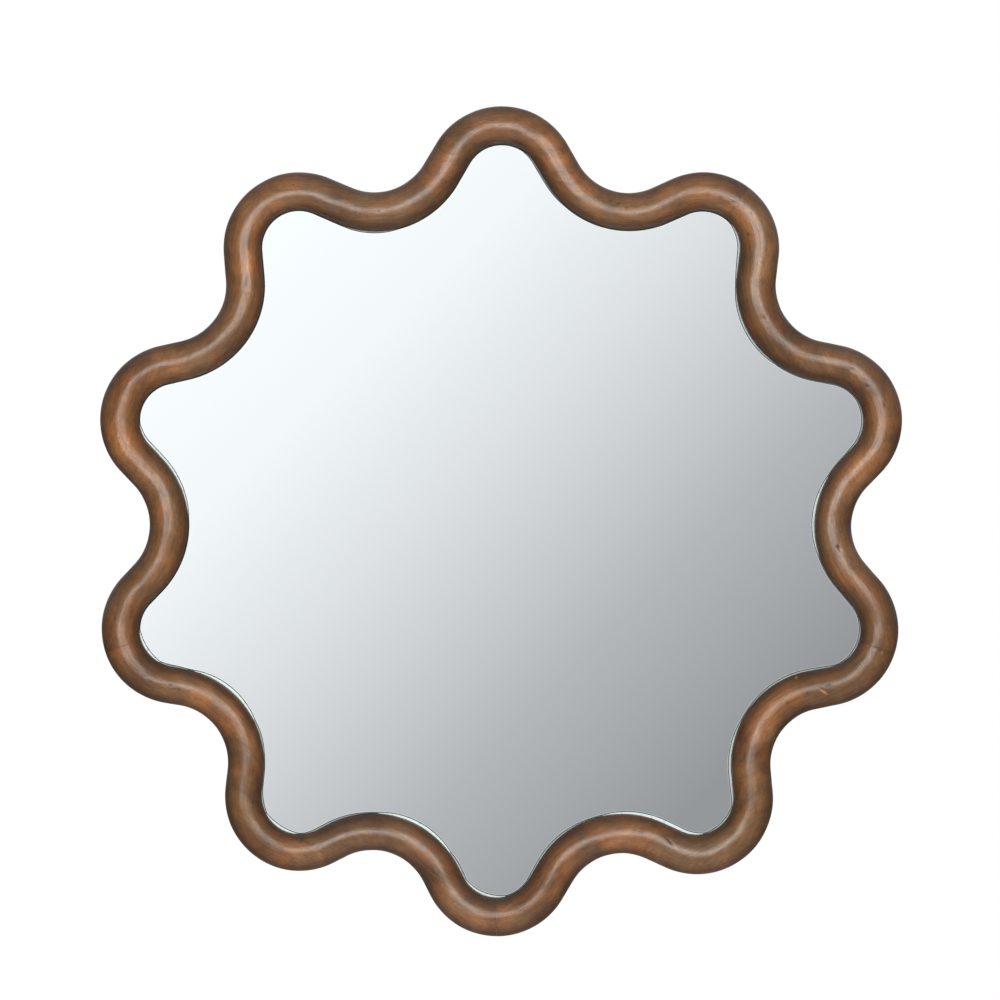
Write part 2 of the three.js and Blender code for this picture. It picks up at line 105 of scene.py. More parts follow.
# Small marks on the face of the moulding, in millimetres from the middle of the mirror: where each one is,
# its half-length and half-width, how its long side is turned in degrees, how deep it is, and its tone,
# below zero where it is darker than the wood around it.
Mark = namedtuple("Mark", "x z along across turn depth tone")
MARKS = (
    Mark(206, 324, 2.0, 1.4, 20, 0.25, -0.5),
    Mark(219, 321, 1.6, 1.3, 0, 0.25, -0.5),
    Mark(232, 317, 2.2, 1.5, -30, 0.30, -0.6),
    Mark(249, 306, 2.0, 1.4, -40, 0.25, -0.6),
    Mark(247, 286, 2.4, 1.5, -70, 0.30, -0.6),
    Mark(109, 319, 2.0, 1.2, 0, 0.15, -0.8),
    Mark(117, 316, 2.6, 1.3, 10, 0.20, -0.8),
    Mark(125, 312, 2.0, 1.2, 30, 0.15, -0.8),
    Mark(134, 307, 2.0, 1.3, 40, 0.15, -0.7),
    Mark(132, 299, 1.8, 1.3, 0, 0.20, -0.7),
    Mark(263, 201, 3.0, 2.0, -60, 0.45, -0.7),
    Mark(351, 150, 4.0, 2.2, -30, 0.35, 0.5),
    Mark(365, 134, 2.2, 1.5, -40, 0.30, -0.7),
    Mark(383, 116, 2.6, 1.5, -60, 0.30, -0.6),
    Mark(337, -27, 4.0, 1.6, -60, 0.60, -0.9),
    Mark(341, -30, 4.0, 1.3, -60, 0.10, 0.6),
    Mark(366, -124, 1.4, 1.2, 0, 0.10, 0.6),
    Mark(372, -127, 1.6, 1.2, 0, 0.15, -0.7),
    Mark(377, -129, 1.4, 1.2, 0, 0.15, -0.6),
    Mark(380, -131, 2.4, 1.2, 80, 0.20, 0.7),
    Mark(346, -124, 4.0, 1.3, 10, 0.15, -0.5),
    Mark(325, -163, 7.0, 5.5, 10, 0.10, -0.45),
    Mark(326, -164, 3.2, 2.2, 10, 0.30, -0.75),
    Mark(322, -170, 4.4, 1.7, -35, 0.45, 1.0),
    Mark(318, -167, 3.0, 1.2, -35, 0.20, 0.4),
    Mark(336, -168, 4.0, 1.2, 15, 0.10, 0.35),
    Mark(295, -156, 2.0, 1.4, 20, 0.20, 0.7),
    Mark(286, -181, 1.6, 1.4, 0, 0.30, -0.8),
    Mark(169, -319, 4.4, 1.5, -54, 0.50, -0.9),
    Mark(175, -326, 3.6, 1.2, -36, 0.12, 0.6),
    Mark(81, 321, 3.0, 1.2, 15, 0.10, -0.5),
    Mark(-57, 340, 3.2, 1.2, 60, 0.10, -0.4),
    Mark(-330, 128, 3.0, 1.3, 30, 0.15, -0.5),
    Mark(-352, -20, 2.6, 1.2, -75, 0.15, -0.5),
    Mark(-262, -215, 3.0, 1.2, 85, 0.15, 0.5),
    Mark(60, -372, 2.8, 1.2, 40, 0.12, -0.5),
    Mark(-182, -324, 6.0, 2.4, 50, 0.20, -0.6),
    Mark(-198, -317, 5.0, 2.0, 50, 0.15, -0.6),
    Mark(-354, -154, 2.6, 1.1, -35, 0.15, -0.6),
    Mark(-348, -160, 2.2, 1.1, -25, 0.15, -0.6),
    Mark(-339, -163, 3.0, 1.1, -10, 0.15, -0.6),
    Mark(-328, -164, 2.4, 1.2, 0, 0.15, -0.6),
    Mark(-320, -168, 2.2, 1.1, -20, 0.15, -0.7),
    Mark(-311, -170, 2.4, 1.1, -30, 0.15, -0.6),
    Mark(-304, -177, 2.4, 1.1, -35, 0.15, -0.6),
    Mark(-338, -169, 9.0, 2.6, -12, 0.0, 0.3),
    Mark(-254, 236, 9.0, 2.2, 75, 0.20, -0.7),
    Mark(-121, 308, 1.4, 1.2, 0, 0.40, -1.0),
)

# The glass was cut in short straight runs, which leave the moulding's curve in places and show its ground
# edge there. Where each such place starts and ends, in lobes clockwise from the top, how wide the edge
# shows at its middle in millimetres, and how brightly it catches the light.
Sliver = namedtuple("Sliver", "start end width light")
SLIVERS = (
    Sliver(0.12, 0.38, 1.0, 0.30),
    Sliver(1.04, 1.32, 1.9, 0.55),
    Sliver(1.32, 1.60, 1.8, 0.50),
    Sliver(1.92, 2.28, 1.4, 0.35),
    Sliver(2.34, 2.60, 2.3, 0.70),
    Sliver(2.85, 3.16, 1.1, 0.40),
    Sliver(3.16, 3.52, 1.4, 0.45),
    Sliver(3.54, 3.86, 2.2, 0.60),
    Sliver(3.84, 4.08, 1.4, 0.45),
    Sliver(4.08, 4.48, 2.9, 0.95),
    Sliver(4.50, 4.82, 1.2, 0.45),
    Sliver(4.94, 5.22, 2.2, 0.90),
    Sliver(5.20, 5.34, 1.7, 0.50),
    Sliver(5.30, 5.58, 2.6, 1.00),
    Sliver(5.60, 5.86, 1.2, 0.40),
    Sliver(5.88, 6.10, 2.4, 0.95),
    Sliver(6.08, 6.24, 1.2, 0.45),
    Sliver(6.34, 6.48, 1.1, 0.55),
    Sliver(6.44, 6.70, 2.6, 1.00),
    Sliver(6.70, 6.86, 1.1, 0.45),
    Sliver(6.83, 7.06, 2.1, 1.00),
    Sliver(7.52, 7.92, 2.0, 0.90),
    Sliver(9.32, 9.48, 1.0, 0.35),
)
# Between these two lobes a thin line of the ground edge shows everywhere.
EDGE_FROM = 0.95
EDGE_TO = 7.05

WARM_LIGHT = (1.0, 0.965, 0.905)
SEGMENTS = ("top", "right", "lower_right", "lower_left", "left")
HALF_LOBE_STATIONS = 136

# The length of the ring's line from one crest to the next, in metres, where the wood's texture needs it.
LOBE_RUN = 0.273


# ---- Settings ----


def length(name, description, default):
    return FloatProperty(
        name=name, description=description, default=default, precision=5, unit="LENGTH", subtype="DISTANCE"
    )


def colour(name, description, default):
    return FloatVectorProperty(
        name=name, description=description, default=default, size=3, min=0, max=1, subtype="COLOR"
    )


def share(name, description, default):
    return FloatProperty(name=name, description=description, default=default, min=0, subtype="FACTOR")


class RingSettings(bpy.types.PropertyGroup):
    """The line down the middle of the moulding, and the moulding's section"""

    crest_reach: length("Crest reach", "From the middle of the mirror to the line, at a crest", 0.3955)
    crest_radius: length("Crest radius", "Of the line over a lobe", 0.0565)
    dip_radius: length("Dip radius", "Of the line through a dip", 0.0775)
    flank_length: length("Flank length", "Of the straight stretch between two arcs", 0.0207)
    width: length("Width", "Of the moulding", 0.0385)
    depth: length("Depth", "Of the moulding, from its back to its ridge", -FRONT)
    back_round: length("Back edge round", "Radius of the outer back edge", 0.002)
    rebate_width: length("Rebate width", "Of the step that holds the board", 0.010)
    rebate_depth: length("Rebate depth", "Of the step that holds the board", 0.0003 - BOARD_FRONT)
    glue_line: length("Glue line", "Between two segments", 0.00004)
    joint_ease: length("Joint ease", "How far the edges at a joint are broken", 0.00008)
    face_start: length("Face start", "Above the rebate, where the shaping by hand begins", 0.003)
    face_rise: length("Face rise", "Over which the shaping by hand comes in", 0.012)
    wander: length("Ridge wander", "How far the ridge strays from the middle", 0.0012)
    ripple: length("Ripple", "Height of the waves that the rasp left", 0.00016)


class WoodSettings(bpy.types.PropertyGroup):
    """The stain and the lacquer on the moulding"""

    brown: colour("Brown", "The stain over most of the wood", (0.262, 0.104, 0.034))
    olive: colour("Olive", "The stain where it took less red", (0.190, 0.096, 0.040))
    dark: colour("Dark", "The dark lines of the grain", (0.072, 0.028, 0.012))
    pale: colour("Pale", "Worn places and scratches", (0.420, 0.235, 0.125))
    figure: share("Figure", "How strongly the grain shows", 0.85)
    # Painted shade: how much darker the wood is painted down the sides, where the light falls away from the
    # ridge.
    side_shade: share("Rubbed", "How much darker the stain is down the sides than on the ridge", 0.62)
    polish: share("Polish", "How much lacquer lies on the wood", 0.85)


class GlassSettings(bpy.types.PropertyGroup):
    """The silvered glass and its ground edge"""

    play: length("Play", "Between the glass and the moulding", 0.0003)
    arris: length("Arris", "How far the edge is ground back where it is narrowest", 0.0003)
    edge_slope: share("Edge slope", "How much further it is ground back, as a share of its width", 0.45)
    # Painted shade: the shadow line is a dark line painted along the mirror's edge.
    shadow_line: length("Shadow line", "Width of the dark edge of the silvering", 0.0008)
    # Painted highlight: the light line is a bright, glowing line painted beside the shadow line.
    light_line: length("Light line", "Width of the polished line beside it", 0.0006)
    silver: colour("Silver", "What the silvering reflects", (0.925, 0.966, 0.992))
    ground_edge: colour("Ground edge", "The frosted edge of the glass", (0.72, 0.83, 0.835))


class BackSettings(bpy.types.PropertyGroup):
    """The board, the tape, the dowels and the bumpers"""

    board: colour("Board", "The hardboard", (0.235, 0.130, 0.062))
    beech: colour("Beech", "The dowels", (0.560, 0.370, 0.210))
    foam: colour("Foam", "The bonding tape", (0.780, 0.760, 0.700))
    rubber: colour("Rubber", "The bumpers", (0.020, 0.020, 0.022))
    bumper_round: length("Bumper round", "Radius of a bumper's front edge", 0.0016)


class HardwareSettings(bpy.types.PropertyGroup):
    """The zinc-plated screws and hangers"""

    zinc: colour("Zinc", "The plating", (0.560, 0.575, 0.590))
    screw: length("Screw", "Diameter of a screw's shank", 0.0035)
    head: length("Head", "Diameter of a screw's head", 0.0070)
    head_height: length("Head height", "Of a screw", 0.0022)
    pitch: length("Pitch", "Of a screw's thread", 0.0014)
    edge_ease: length("Edge ease", "How far the edges of screws and plates are broken", 0.0002)
    slot: length("Slot", "Width of the slots in a screw's head", 0.0010)
    slot_depth: length("Slot depth", "Of the slots in a screw's head", 0.0012)
    wire: length("Wire", "Diameter of a hanging ring's wire", 0.0030)
    ring_corner: length("Ring corner", "Radius at the ends of a ring's bar", 0.0030)
    strap: length("Strap", "Thickness of a hanger's strap", 0.0012)
    strap_hole: length("Strap hole", "Diameter of the holes in a strap", 0.0041)


class StudioSettings(bpy.types.PropertyGroup):
    """The camera, the lamps and the floor"""

    camera_distance: length("Camera distance", "From the plane of the moulding's back", 4.5)
    camera_right: length("Camera right", "How far the camera stands to the right", -0.0005)
    camera_up: length("Camera up", "How far the camera stands above the middle", 0.021)
    view_width: length("View width", "What the picture spans at the glass", 1.0)
    right_power: FloatProperty(name="Right softbox", description="In watts", default=24)
    left_power: FloatProperty(name="Left softbox", description="In watts", default=12)
    middle_power: FloatProperty(name="Middle softbox", description="In watts", default=44)
    front_power: FloatProperty(name="Front lamp", description="In watts", default=44)
    back_power: FloatProperty(name="Back lamp", description="In watts", default=60)
    floor_drop: length("Floor drop", "From the middle of the mirror to the floor", 1.8)
    floor_reach: length("Floor reach", "Radius of the floor", 6.0)
    floor: colour("Floor", "The studio floor", (0.82, 0.82, 0.81))


# ---- Shaders ----


class Value:
    """A socket that takes part in sums. Each sum adds a Math node."""

    def __init__(self, shader, socket):
        self.shader = shader
        self.socket = socket

    def sum(self, operation, *values):
        return self.shader.add("ShaderNodeMath", {"operation": operation}, values)

    def __add__(self, other):
        return self.sum("ADD", self, other)

    def __sub__(self, other):
        return self.sum("SUBTRACT", self, other)

    def __mul__(self, other):
        return self.sum("MULTIPLY", self, other)

    def __truediv__(self, other):
        return self.sum("DIVIDE", self, other)

    def __rsub__(self, other):
        return self.sum("SUBTRACT", other, self)

    def __neg__(self):
        return self.sum("MULTIPLY", self, -1)

    __radd__ = __add__
    __rmul__ = __mul__


class Shader:
    """The nodes of one material or of the world."""

    def __init__(self, owner):
        self.owner = owner
        owner.use_nodes = True
        self.tree = owner.node_tree
        self.tree.nodes.clear()

    def add(self, kind, settings=None, inputs=(), output=0):
        """Adds a node. Inputs are in order, or by name or number, and are numbers, colours or Values."""
        node = self.tree.nodes.new(kind)
        for name, value in (settings or {}).items():
            if name == "stops":
                set_stops(node.color_ramp, value)
            else:
                setattr(node, name, value)
        for key, value in inputs.items() if isinstance(inputs, dict) else enumerate(inputs):
            if isinstance(value, Value):
                self.tree.links.new(value.socket, node.inputs[key])
            else:
                node.inputs[key].default_value = value
        return Value(self, node.outputs[output] if len(node.outputs) else None)

    def attribute(self, name, output=0):
        return self.add("ShaderNodeAttribute", {"attribute_name": name}, output=output)

    def place(self):
        return self.add("ShaderNodeTexCoord", output=3)

    def vector(self, operation, *values, output=0):
        return self.add("ShaderNodeVectorMath", {"operation": operation}, values, output)

    def axis(self, vector, number):
        return self.add("ShaderNodeSeparateXYZ", None, [vector], number)

    def noise(self, vector, scale, detail=2.0, roughness=0.5, output=0):
        """Noise with one scale, or with a scale for each axis. Scales are in features to the metre."""
        if isinstance(scale, tuple):
            vector = self.vector("MULTIPLY", vector, scale)
            scale = 1.0
        inputs = {"Vector": vector, "Scale": scale, "Detail": detail, "Roughness": roughness}
        return self.add("ShaderNodeTexNoise", None, inputs, output)

    def step(self, value, low, high):
        """0 below low and 1 above high, with an eased rise between them."""
        inputs = {"Value": value, "From Min": low, "From Max": high}
        return self.add("ShaderNodeMapRange", {"interpolation_type": "SMOOTHSTEP"}, inputs)

    def mix(self, factor, first, second, blend="MIX"):
        settings = {"data_type": "RGBA", "blend_type": blend}
        inputs = {0: factor, 6: opaque(first), 7: opaque(second)}
        return self.add("ShaderNodeMix", settings, inputs, output=2)

    def ramp(self, value, *stops):
        return self.add("ShaderNodeValToRGB", {"stops": stops}, [value])

    def bump(self, height, distance, strength=1.0):
        inputs = {"Height": height, "Distance": distance, "Strength": strength}
        return self.add("ShaderNodeBump", None, inputs)

    def surface(self, **inputs):
        """The material, with a Principled BSDF. Spaces in its socket names are written as _."""
        named = {name.replace("_", " "): value for name, value in inputs.items()}
        self.output(self.add("ShaderNodeBsdfPrincipled", None, named))
        return self.owner

    def output(self, surface, kind="ShaderNodeOutputMaterial"):
        self.add(kind, None, {"Surface": surface})


def set_stops(ramp, stops):
    while len(ramp.elements) > 1:
        ramp.elements.remove(ramp.elements[-1])
    for i, (position, tone) in enumerate(stops):
        element = ramp.elements[0] if i == 0 else ramp.elements.new(position)
        element.position = position
        element.color = opaque(tone)


def opaque(tone):
    """A grey number or a colour, with full alpha. A Value stays as it is."""
    if isinstance(tone, Value):
        return tone
    return (tone, tone, tone, 1) if isinstance(tone, (int, float)) else (*tone, 1)


def scaled(colour, factor):
    return [factor * channel for channel in colour]


def new_shader(name):
    return Shader(bpy.data.materials.new(name))


def wood_grain(s, plank):
    """The bands of the growth rings, the streaks along the plank, its pores and its dark patches."""
    drift = s.vector("SUBTRACT", s.noise(plank, 7, 2, output=1), (0.5, 0.5, 0.5))
    bent = s.vector("ADD", plank, s.vector("MULTIPLY", drift, (0.02, 0.016, 0.016)))

    # Growth rings about a pith that lies behind the moulding and below its line.
    from_pith = s.vector("MULTIPLY", s.vector("ADD", bent, (0, 0.06, 0.09)), (0, 1, 1))
    radius = s.vector("LENGTH", from_pith, output=1)
    ring_place = s.add("ShaderNodeCombineXYZ", None, [s.axis(bent, 0) * 2.4, radius * 150, 0])
    rings = s.step(s.noise(ring_place, 1, 2, 0.6), 0.38, 0.64)
    streaks = s.noise(bent, (16, 460, 460), 3, 0.65)
    pores = s.step(s.noise(bent, (170, 1300, 1300), 1), 0.64, 0.72)
    patches = s.step(s.noise(bent, (14, 42, 42), 2), 0.52, 0.74)
    return rings, streaks, pores, patches


def stain_colour(s, wood, spot):
    """The stain, which took redder in some places than in others."""
    broad = s.step(s.noise(spot, 11, 2), 0.38, 0.62)
    fine = s.step(s.noise(spot, 44, 2), 0.40, 0.62)
    return s.mix(broad * 0.7 + fine * 0.5, wood.brown, wood.olive)


def unevenly_toned(s, grained, spot, sanding):
    """The grained wood, lighter and darker from place to place and along the sanding scratches."""
    uneven = s.ramp(s.noise(spot, 27, 3, 0.6), (0.28, 0.58), (0.50, 1.0), (0.74, 1.44))
    clouds = s.ramp(s.noise(spot, 8, 2), (0.32, 0.74), (0.68, 1.24))
    scratches = s.ramp(sanding, (0.25, 0.72), (0.50, 1.0), (0.75, 1.32))
    for tone in (uneven, clouds, scratches):
        grained = s.mix(1.0, grained, tone, "MULTIPLY")
    return grained


def side_shaded_and_marked(s, wood, tone, side):
    """The wood with painted shade down the sides, darker where the light falls away from the ridge, with
    its small marks and its joints.
    """
    # Painted shade: the stain is darkened towards the sides of the moulding, where the light falls away.
    side_shade = s.mix(s.step(side, 0.25, 1.0) * wood.side_shade, tone, scaled(wood.dark, 0.3))
    mark = s.attribute("mark", 2)
    marked = s.mix(s.step(-mark, 0.05, 1.0), side_shade, scaled(wood.dark, 0.35))
    marked = s.mix(s.step(mark, 0.05, 1.2), marked, wood.pale)
    return s.mix(s.attribute("joint", 2) * 0.2, marked, scaled(wood.dark, 0.5))


def stained_wood(wood):
    """Hardwood with the grain along each segment, stained brown, sanded along the curve and lacquered."""
    s = new_shader("stained_wood")
    plank = s.attribute("plank", 1)
    run = s.attribute("run", 1)
    side = s.attribute("side", 2)
    spot = s.place()
    rings, streaks, pores, patches = wood_grain(s, plank)
    pits = s.step(s.noise(plank, 640, 0), 0.74, 0.80) * s.step(s.noise(plank, 18, 2), 0.50, 0.66)
    sanding = s.noise(run, (55, 760, 760), 3, 0.65)
    grit = s.noise(run, (260, 620, 620), 2, 0.6)

    darkness = (rings * 0.34 + s.step(streaks, 0.40, 0.70) * 0.34 + patches * 0.40) * wood.figure
    grained = s.mix(darkness, stain_colour(s, wood, spot), wood.dark)
    grained = s.mix(pores * 0.55 + pits * 0.8, grained, scaled(wood.dark, 0.5))

    # The lacquer was rubbed to a gloss along the ridge, and is thinner and more matt down the sides.
    flank = s.step(side, 0.50, 0.85)
    lacquer = s.noise(plank, 60, 3, 0.6)
    sheen = 0.70 + s.step(s.noise(spot, 9, 1), 0.35, 0.65) * 0.38
    coat = (wood.polish + (lacquer - 0.5) * 0.9 + (grit - 0.5) * 1.1) * sheen
    relief = streaks * 0.5 - pores * 0.5 - pits + (sanding - 0.5) * 1.1 + (grit - 0.5) * 1.2
    return s.surface(
        Base_Color=side_shaded_and_marked(s, wood, unevenly_toned(s, grained, spot, sanding), side),
        Roughness=0.40 + lacquer * 0.16 + pores * 0.15 + flank * 0.25,
        Specular_IOR_Level=0.12,
        Coat_Weight=coat * (1 - flank * 0.5),
        Coat_Roughness=0.30,
        Coat_IOR=1.52,
        Normal=s.bump(relief * (1 - flank * 0.7), 0.00010, 1.0),
    )


def silvered_face(glass):
    """The mirror itself: silvering seen through clear glass, with the faintest waves in it."""
    s = new_shader("silvered_face")
    place = s.place()
    haze = s.noise(place, 9, 3, 0.6)
    silver = s.mix(s.step(haze, 0.3, 0.8) * 0.12, glass.silver, scaled(glass.silver, 0.97))
    return s.surface(
        Base_Color=silver,
        Metallic=1.0,
        Roughness=0.012 + haze * 0.012,
    )


def ground_edge(glass):
    """The frosted, faintly green edge of the glass, with painted light: it is darkened where it is set to
    catch little light, and glows by emission where it is set to catch more.
    """
    s = new_shader("ground_edge")
    light = s.attribute("light", 2)
    place = s.place()
    grinding = s.noise(place, 900, 2)
    chips = s.step(s.noise(place, 260, 2), 0.60, 0.72)
    # Painted light: the edge's colour is darkened to a fifth where its light value is low, and it glows by
    # emission where the value is high.
    painted_lit_edge = s.mix(light, scaled(glass.ground_edge, 0.22), glass.ground_edge)
    chipped_and_lit = s.mix(chips * 0.4, painted_lit_edge, (0.05, 0.07, 0.07))
    return s.surface(
        Base_Color=chipped_and_lit,
        Roughness=0.35 + grinding * 0.3,
        Specular_IOR_Level=0.2,
        Emission_Color=s.mix(light, 0.0, chipped_and_lit),
        Emission_Strength=0.30,
        Normal=s.bump(grinding, 0.00005, 0.5),
    )


def painted_shadow_line():
    """Painted shade: a dark line along the edge of the mirror, beside the moulding, where the edge shows
    dark.
    """
    s = new_shader("painted_shadow_line")
    creep = s.noise(s.place(), 300, 3, 0.6)
    return s.surface(
        Base_Color=s.ramp(creep, (0.35, (0.020, 0.048, 0.048)), (0.70, (0.075, 0.125, 0.128))),
        Roughness=0.25 + creep * 0.2,
        IOR=1.52,
    )


def painted_highlight_line(glass):
    """The thin line beside it, on the arris's polish, with a painted highlight: a near-white colour and a
    glow by emission make it show a little brighter than the mirror.
    """
    s = new_shader("painted_highlight_line")
    wave = s.noise(s.place(), 120, 2)
    return s.surface(
        Base_Color=s.ramp(wave, (0.3, (0.90, 0.97, 0.96)), (0.7, (0.97, 1.0, 1.0))),
        Metallic=0.80 + wave * 0.1,
        Roughness=0.05 + wave * 0.05,
        # Painted highlight: the line glows by emission.
        Emission_Color=s.ramp(wave, (0.3, (0.70, 0.80, 0.80)), (0.7, (0.95, 1.0, 1.0))),
        Emission_Strength=0.16,
    )


def back_paint():
    """The grey-green paint over the silvering, on the back of the glass."""
    s = new_shader("back_paint")
    place = s.place()
    clouds = s.noise(place, 14, 3)
    return s.surface(
        Base_Color=s.ramp(clouds, (0.35, (0.16, 0.20, 0.19)), (0.65, (0.20, 0.245, 0.23))),
        Roughness=0.45 + clouds * 0.2,
        Normal=s.bump(s.noise(place, 900, 2), 0.00004, 0.5),
    )


def hardboard(back):
    """Pressed fibre board with a smooth, faintly mottled face."""
    s = new_shader("hardboard")
    place = s.place()
    fibres = s.noise(place, (340, 340, 900), 4, 0.7)
    strands = s.noise(place, (1400, 1400, 260), 2, 0.6)
    cloud = s.noise(place, 12, 3)
    flecks = s.step(s.noise(place, 700, 1), 0.66, 0.74)
    tone = s.mix(s.step(fibres, 0.3, 0.75), scaled(back.board, 0.78), scaled(back.board, 1.22))
    tone = s.mix(1.0, tone, s.ramp(cloud, (0.3, 0.90), (0.7, 1.08)), "MULTIPLY")
    tone = s.mix(flecks * 0.5, tone, scaled(back.board, 0.45))
    rubs = s.step(s.noise(place, (110, 1, 9), 3, 0.7), 0.56, 0.80)
    tone = s.mix(rubs * 0.35, tone, scaled(back.board, 1.5))
    return s.surface(
        Base_Color=tone,
        Roughness=0.55 + strands * 0.25,
        Normal=s.bump(fibres + strands * 0.5, 0.0001, 0.5),
    )


def beech(back):
    """Bare beech, with its short dark flecks along the dowel."""
    s = new_shader("beech")
    place = s.place()
    grain = s.noise(place, (700, 700, 120), 3, 0.6)
    flecks = s.step(s.noise(place, (1500, 1500, 400), 1), 0.62, 0.72)
    tone = s.mix(grain, scaled(back.beech, 0.8), scaled(back.beech, 1.15))
    return s.surface(
        Base_Color=s.mix(flecks * 0.5, tone, scaled(back.beech, 0.4)),
        Roughness=0.6 + grain * 0.2,
        Normal=s.bump(grain, 0.0001, 0.5),
    )


def foam_tape(back):
    """Closed-cell foam tape, pale and matt."""
    s = new_shader("foam_tape")
    cells = s.add("ShaderNodeTexVoronoi", None, {"Vector": s.place(), "Scale": 1400.0})
    return s.surface(
        Base_Color=s.mix(cells, back.foam, scaled(back.foam, 0.75)),
        Roughness=0.8 + cells * 0.15,
        Normal=s.bump(cells, 0.0001, 0.4),
    )


def zinc_plate(hardware):
    """Bright zinc plating with faint brushing, dulled in patches."""
    s = new_shader("zinc_plate")
    place = s.place()
    brushing = s.noise(place, (2600, 900, 300), 2)
    dulled = s.step(s.noise(place, 240, 3, 0.6), 0.4, 0.7)
    tint = s.mix(s.noise(place, 90, 2), hardware.zinc, scaled(hardware.zinc, 0.86))
    return s.surface(
        Base_Color=s.mix(dulled * 0.35, tint, (0.36, 0.35, 0.33)),
        Metallic=1.0,
        Roughness=0.24 + dulled * 0.16 + brushing * 0.08,
        Normal=s.bump(brushing, 0.00002, 0.6),
    )


def black_rubber(back):
    """Moulded black rubber with a fine matt skin and a little dust."""
    s = new_shader("black_rubber")
    place = s.place()
    skin = s.noise(place, 2200, 2)
    dust = s.step(s.noise(place, 180, 3, 0.7), 0.55, 0.8)
    return s.surface(
        Base_Color=s.mix(dust * 0.25, back.rubber, (0.14, 0.135, 0.13)),
        Roughness=0.62 + skin * 0.25,
        Normal=s.bump(skin, 0.00006, 0.5),
    )


# ---- The ring's line: plane points are complex numbers, x + z i ----

Arc = namedtuple("Arc", "side bearing centre radius start end")


def polar(degrees, reach=1.0):
    return reach * np.exp(1j * np.radians(degrees))


def degrees_of(point):
    return math.degrees(np.angle(point))


def nearest_turn(angle, other):
    """The angle, by whole turns as near as it can be to the other."""
    return other + (angle - other + 180) % 360 - 180


def ring_arcs(ring):
    """An arc over each crest and one through each dip, clockwise from the top, as in the solids."""
    pitch = 360 / len(LOBES)
    crest_centre = polar(pitch / 2, ring.crest_reach - ring.crest_radius)
    apart = math.hypot(ring.crest_radius + ring.dip_radius, ring.flank_length)
    dip_reach = crest_centre.real + math.sqrt(apart**2 - crest_centre.imag**2) - ring.dip_radius
    bearings = [90 - pitch * i + lobe.turn for i, lobe in enumerate(LOBES)]
    bearings.append(bearings[0] - 360)
    arcs = []
    for i, lobe in enumerate(LOBES):
        crest = bearings[i]
        dip = (bearings[i] + bearings[i + 1]) / 2
        crest_centre = polar(crest, ring.crest_reach + lobe.crest * MM - ring.crest_radius)
        dip_centre = polar(dip, dip_reach + lobe.dip * MM + ring.dip_radius)
        arcs.append((1, crest, crest_centre, ring.crest_radius))
        arcs.append((-1, dip, dip_centre, ring.dip_radius))
    flanks = []
    for (side, _, centre, radius), (_, _, next_centre, next_radius) in zip(arcs, arcs[1:] + arcs[:1]):
        across = next_centre - centre
        lean = math.degrees(math.acos((radius + next_radius) / abs(across)))
        flanks.append(degrees_of(across) + (lean if side > 0 else 180 - lean))
    return [
        Arc(*arc, nearest_turn(flanks[i - 1], arc[1]), nearest_turn(flanks[i], arc[1]))
        for i, arc in enumerate(arcs)
    ]


def half_lobe(arc, following, count):
    """Points and outward normals from the middle of one arc to just before the middle of the next."""
    first = math.radians(abs(arc.end - arc.bearing)) * arc.radius
    last = math.radians(abs(following.bearing - following.start)) * following.radius
    begin = arc.centre + polar(arc.end, arc.side * arc.radius)
    finish = following.centre + polar(following.start, following.side * following.radius)
    flank = abs(finish - begin)
    along = np.arange(count) / count * (first + flank + last)
    final = arc.end + following.bearing - following.start
    turn = np.interp(
        along, [0, first, first + flank, first + flank + last], [arc.bearing, arc.end, arc.end, final]
    )
    normal = polar(turn)
    point = np.select(
        [along < first, along < first + flank],
        [arc.centre + arc.side * arc.radius * normal, begin + (along - first) * (finish - begin) / flank],
        following.centre + following.side * following.radius * normal,
    )
    return point, normal


class RingLine:
    """Stations round the ring. A station's place is 0 at the top crest, 1 at the next one, and so on."""

    def __init__(self, ring):
        arcs = ring_arcs(ring)
        pairs = zip(arcs, arcs[1:] + arcs[:1])
        halves = [half_lobe(arc, following, HALF_LOBE_STATIONS) for arc, following in pairs]
        self.point = np.concatenate([point for point, _ in halves])
        self.normal = np.concatenate([normal for _, normal in halves])
        self.place = np.arange(len(self.point)) / (2 * HALF_LOBE_STATIONS)


def eased(place, crests, dips):
    """Values at the crests and at the dips, carried smoothly from one to the next."""
    knots = np.array([crests, dips]).T.ravel()
    lower = np.floor(place * 2).astype(int)
    rise = (1 - np.cos(np.pi * (place * 2 - lower))) / 2
    return knots[lower % len(knots)] * (1 - rise) + knots[(lower + 1) % len(knots)] * rise


def fullness(place):
    """How much wider than even the moulding is, outside and inside its line, in metres."""
    outer = eased(place, [lobe.crest_out for lobe in LOBES], [lobe.dip_out for lobe in LOBES])
    inner = eased(place, [lobe.crest_in for lobe in LOBES], [lobe.dip_in for lobe in LOBES])
    return outer * MM, inner * MM


def waves(place, cycles, seed):
    """A smooth random line round the ring, between about -1 and 1, from so many cycles per turn."""
    random = np.random.default_rng(seed)
    turns = 2 * np.pi * np.asarray(place) / len(LOBES)
    lines = [
        random.uniform(0.4, 1.0) * np.sin(turns * count + random.uniform(0, 2 * np.pi)) for count in cycles
    ]
    return np.sum(lines, axis=0) / math.sqrt(len(cycles))


# ---- Meshes ----


def new_piece(name, points, faces, materials, smooth_angle=40):
    """A mesh object with its faces turned outwards, and sharp edges only past the smooth angle."""
    mesh = bpy.data.meshes.new(name)
    mesh.from_pydata(points, [], faces)
    return finish_piece(name, mesh, materials, smooth_angle)


def new_object(name, data):
    thing = bpy.data.objects.new(name, data)
    bpy.context.collection.objects.link(thing)
    return thing


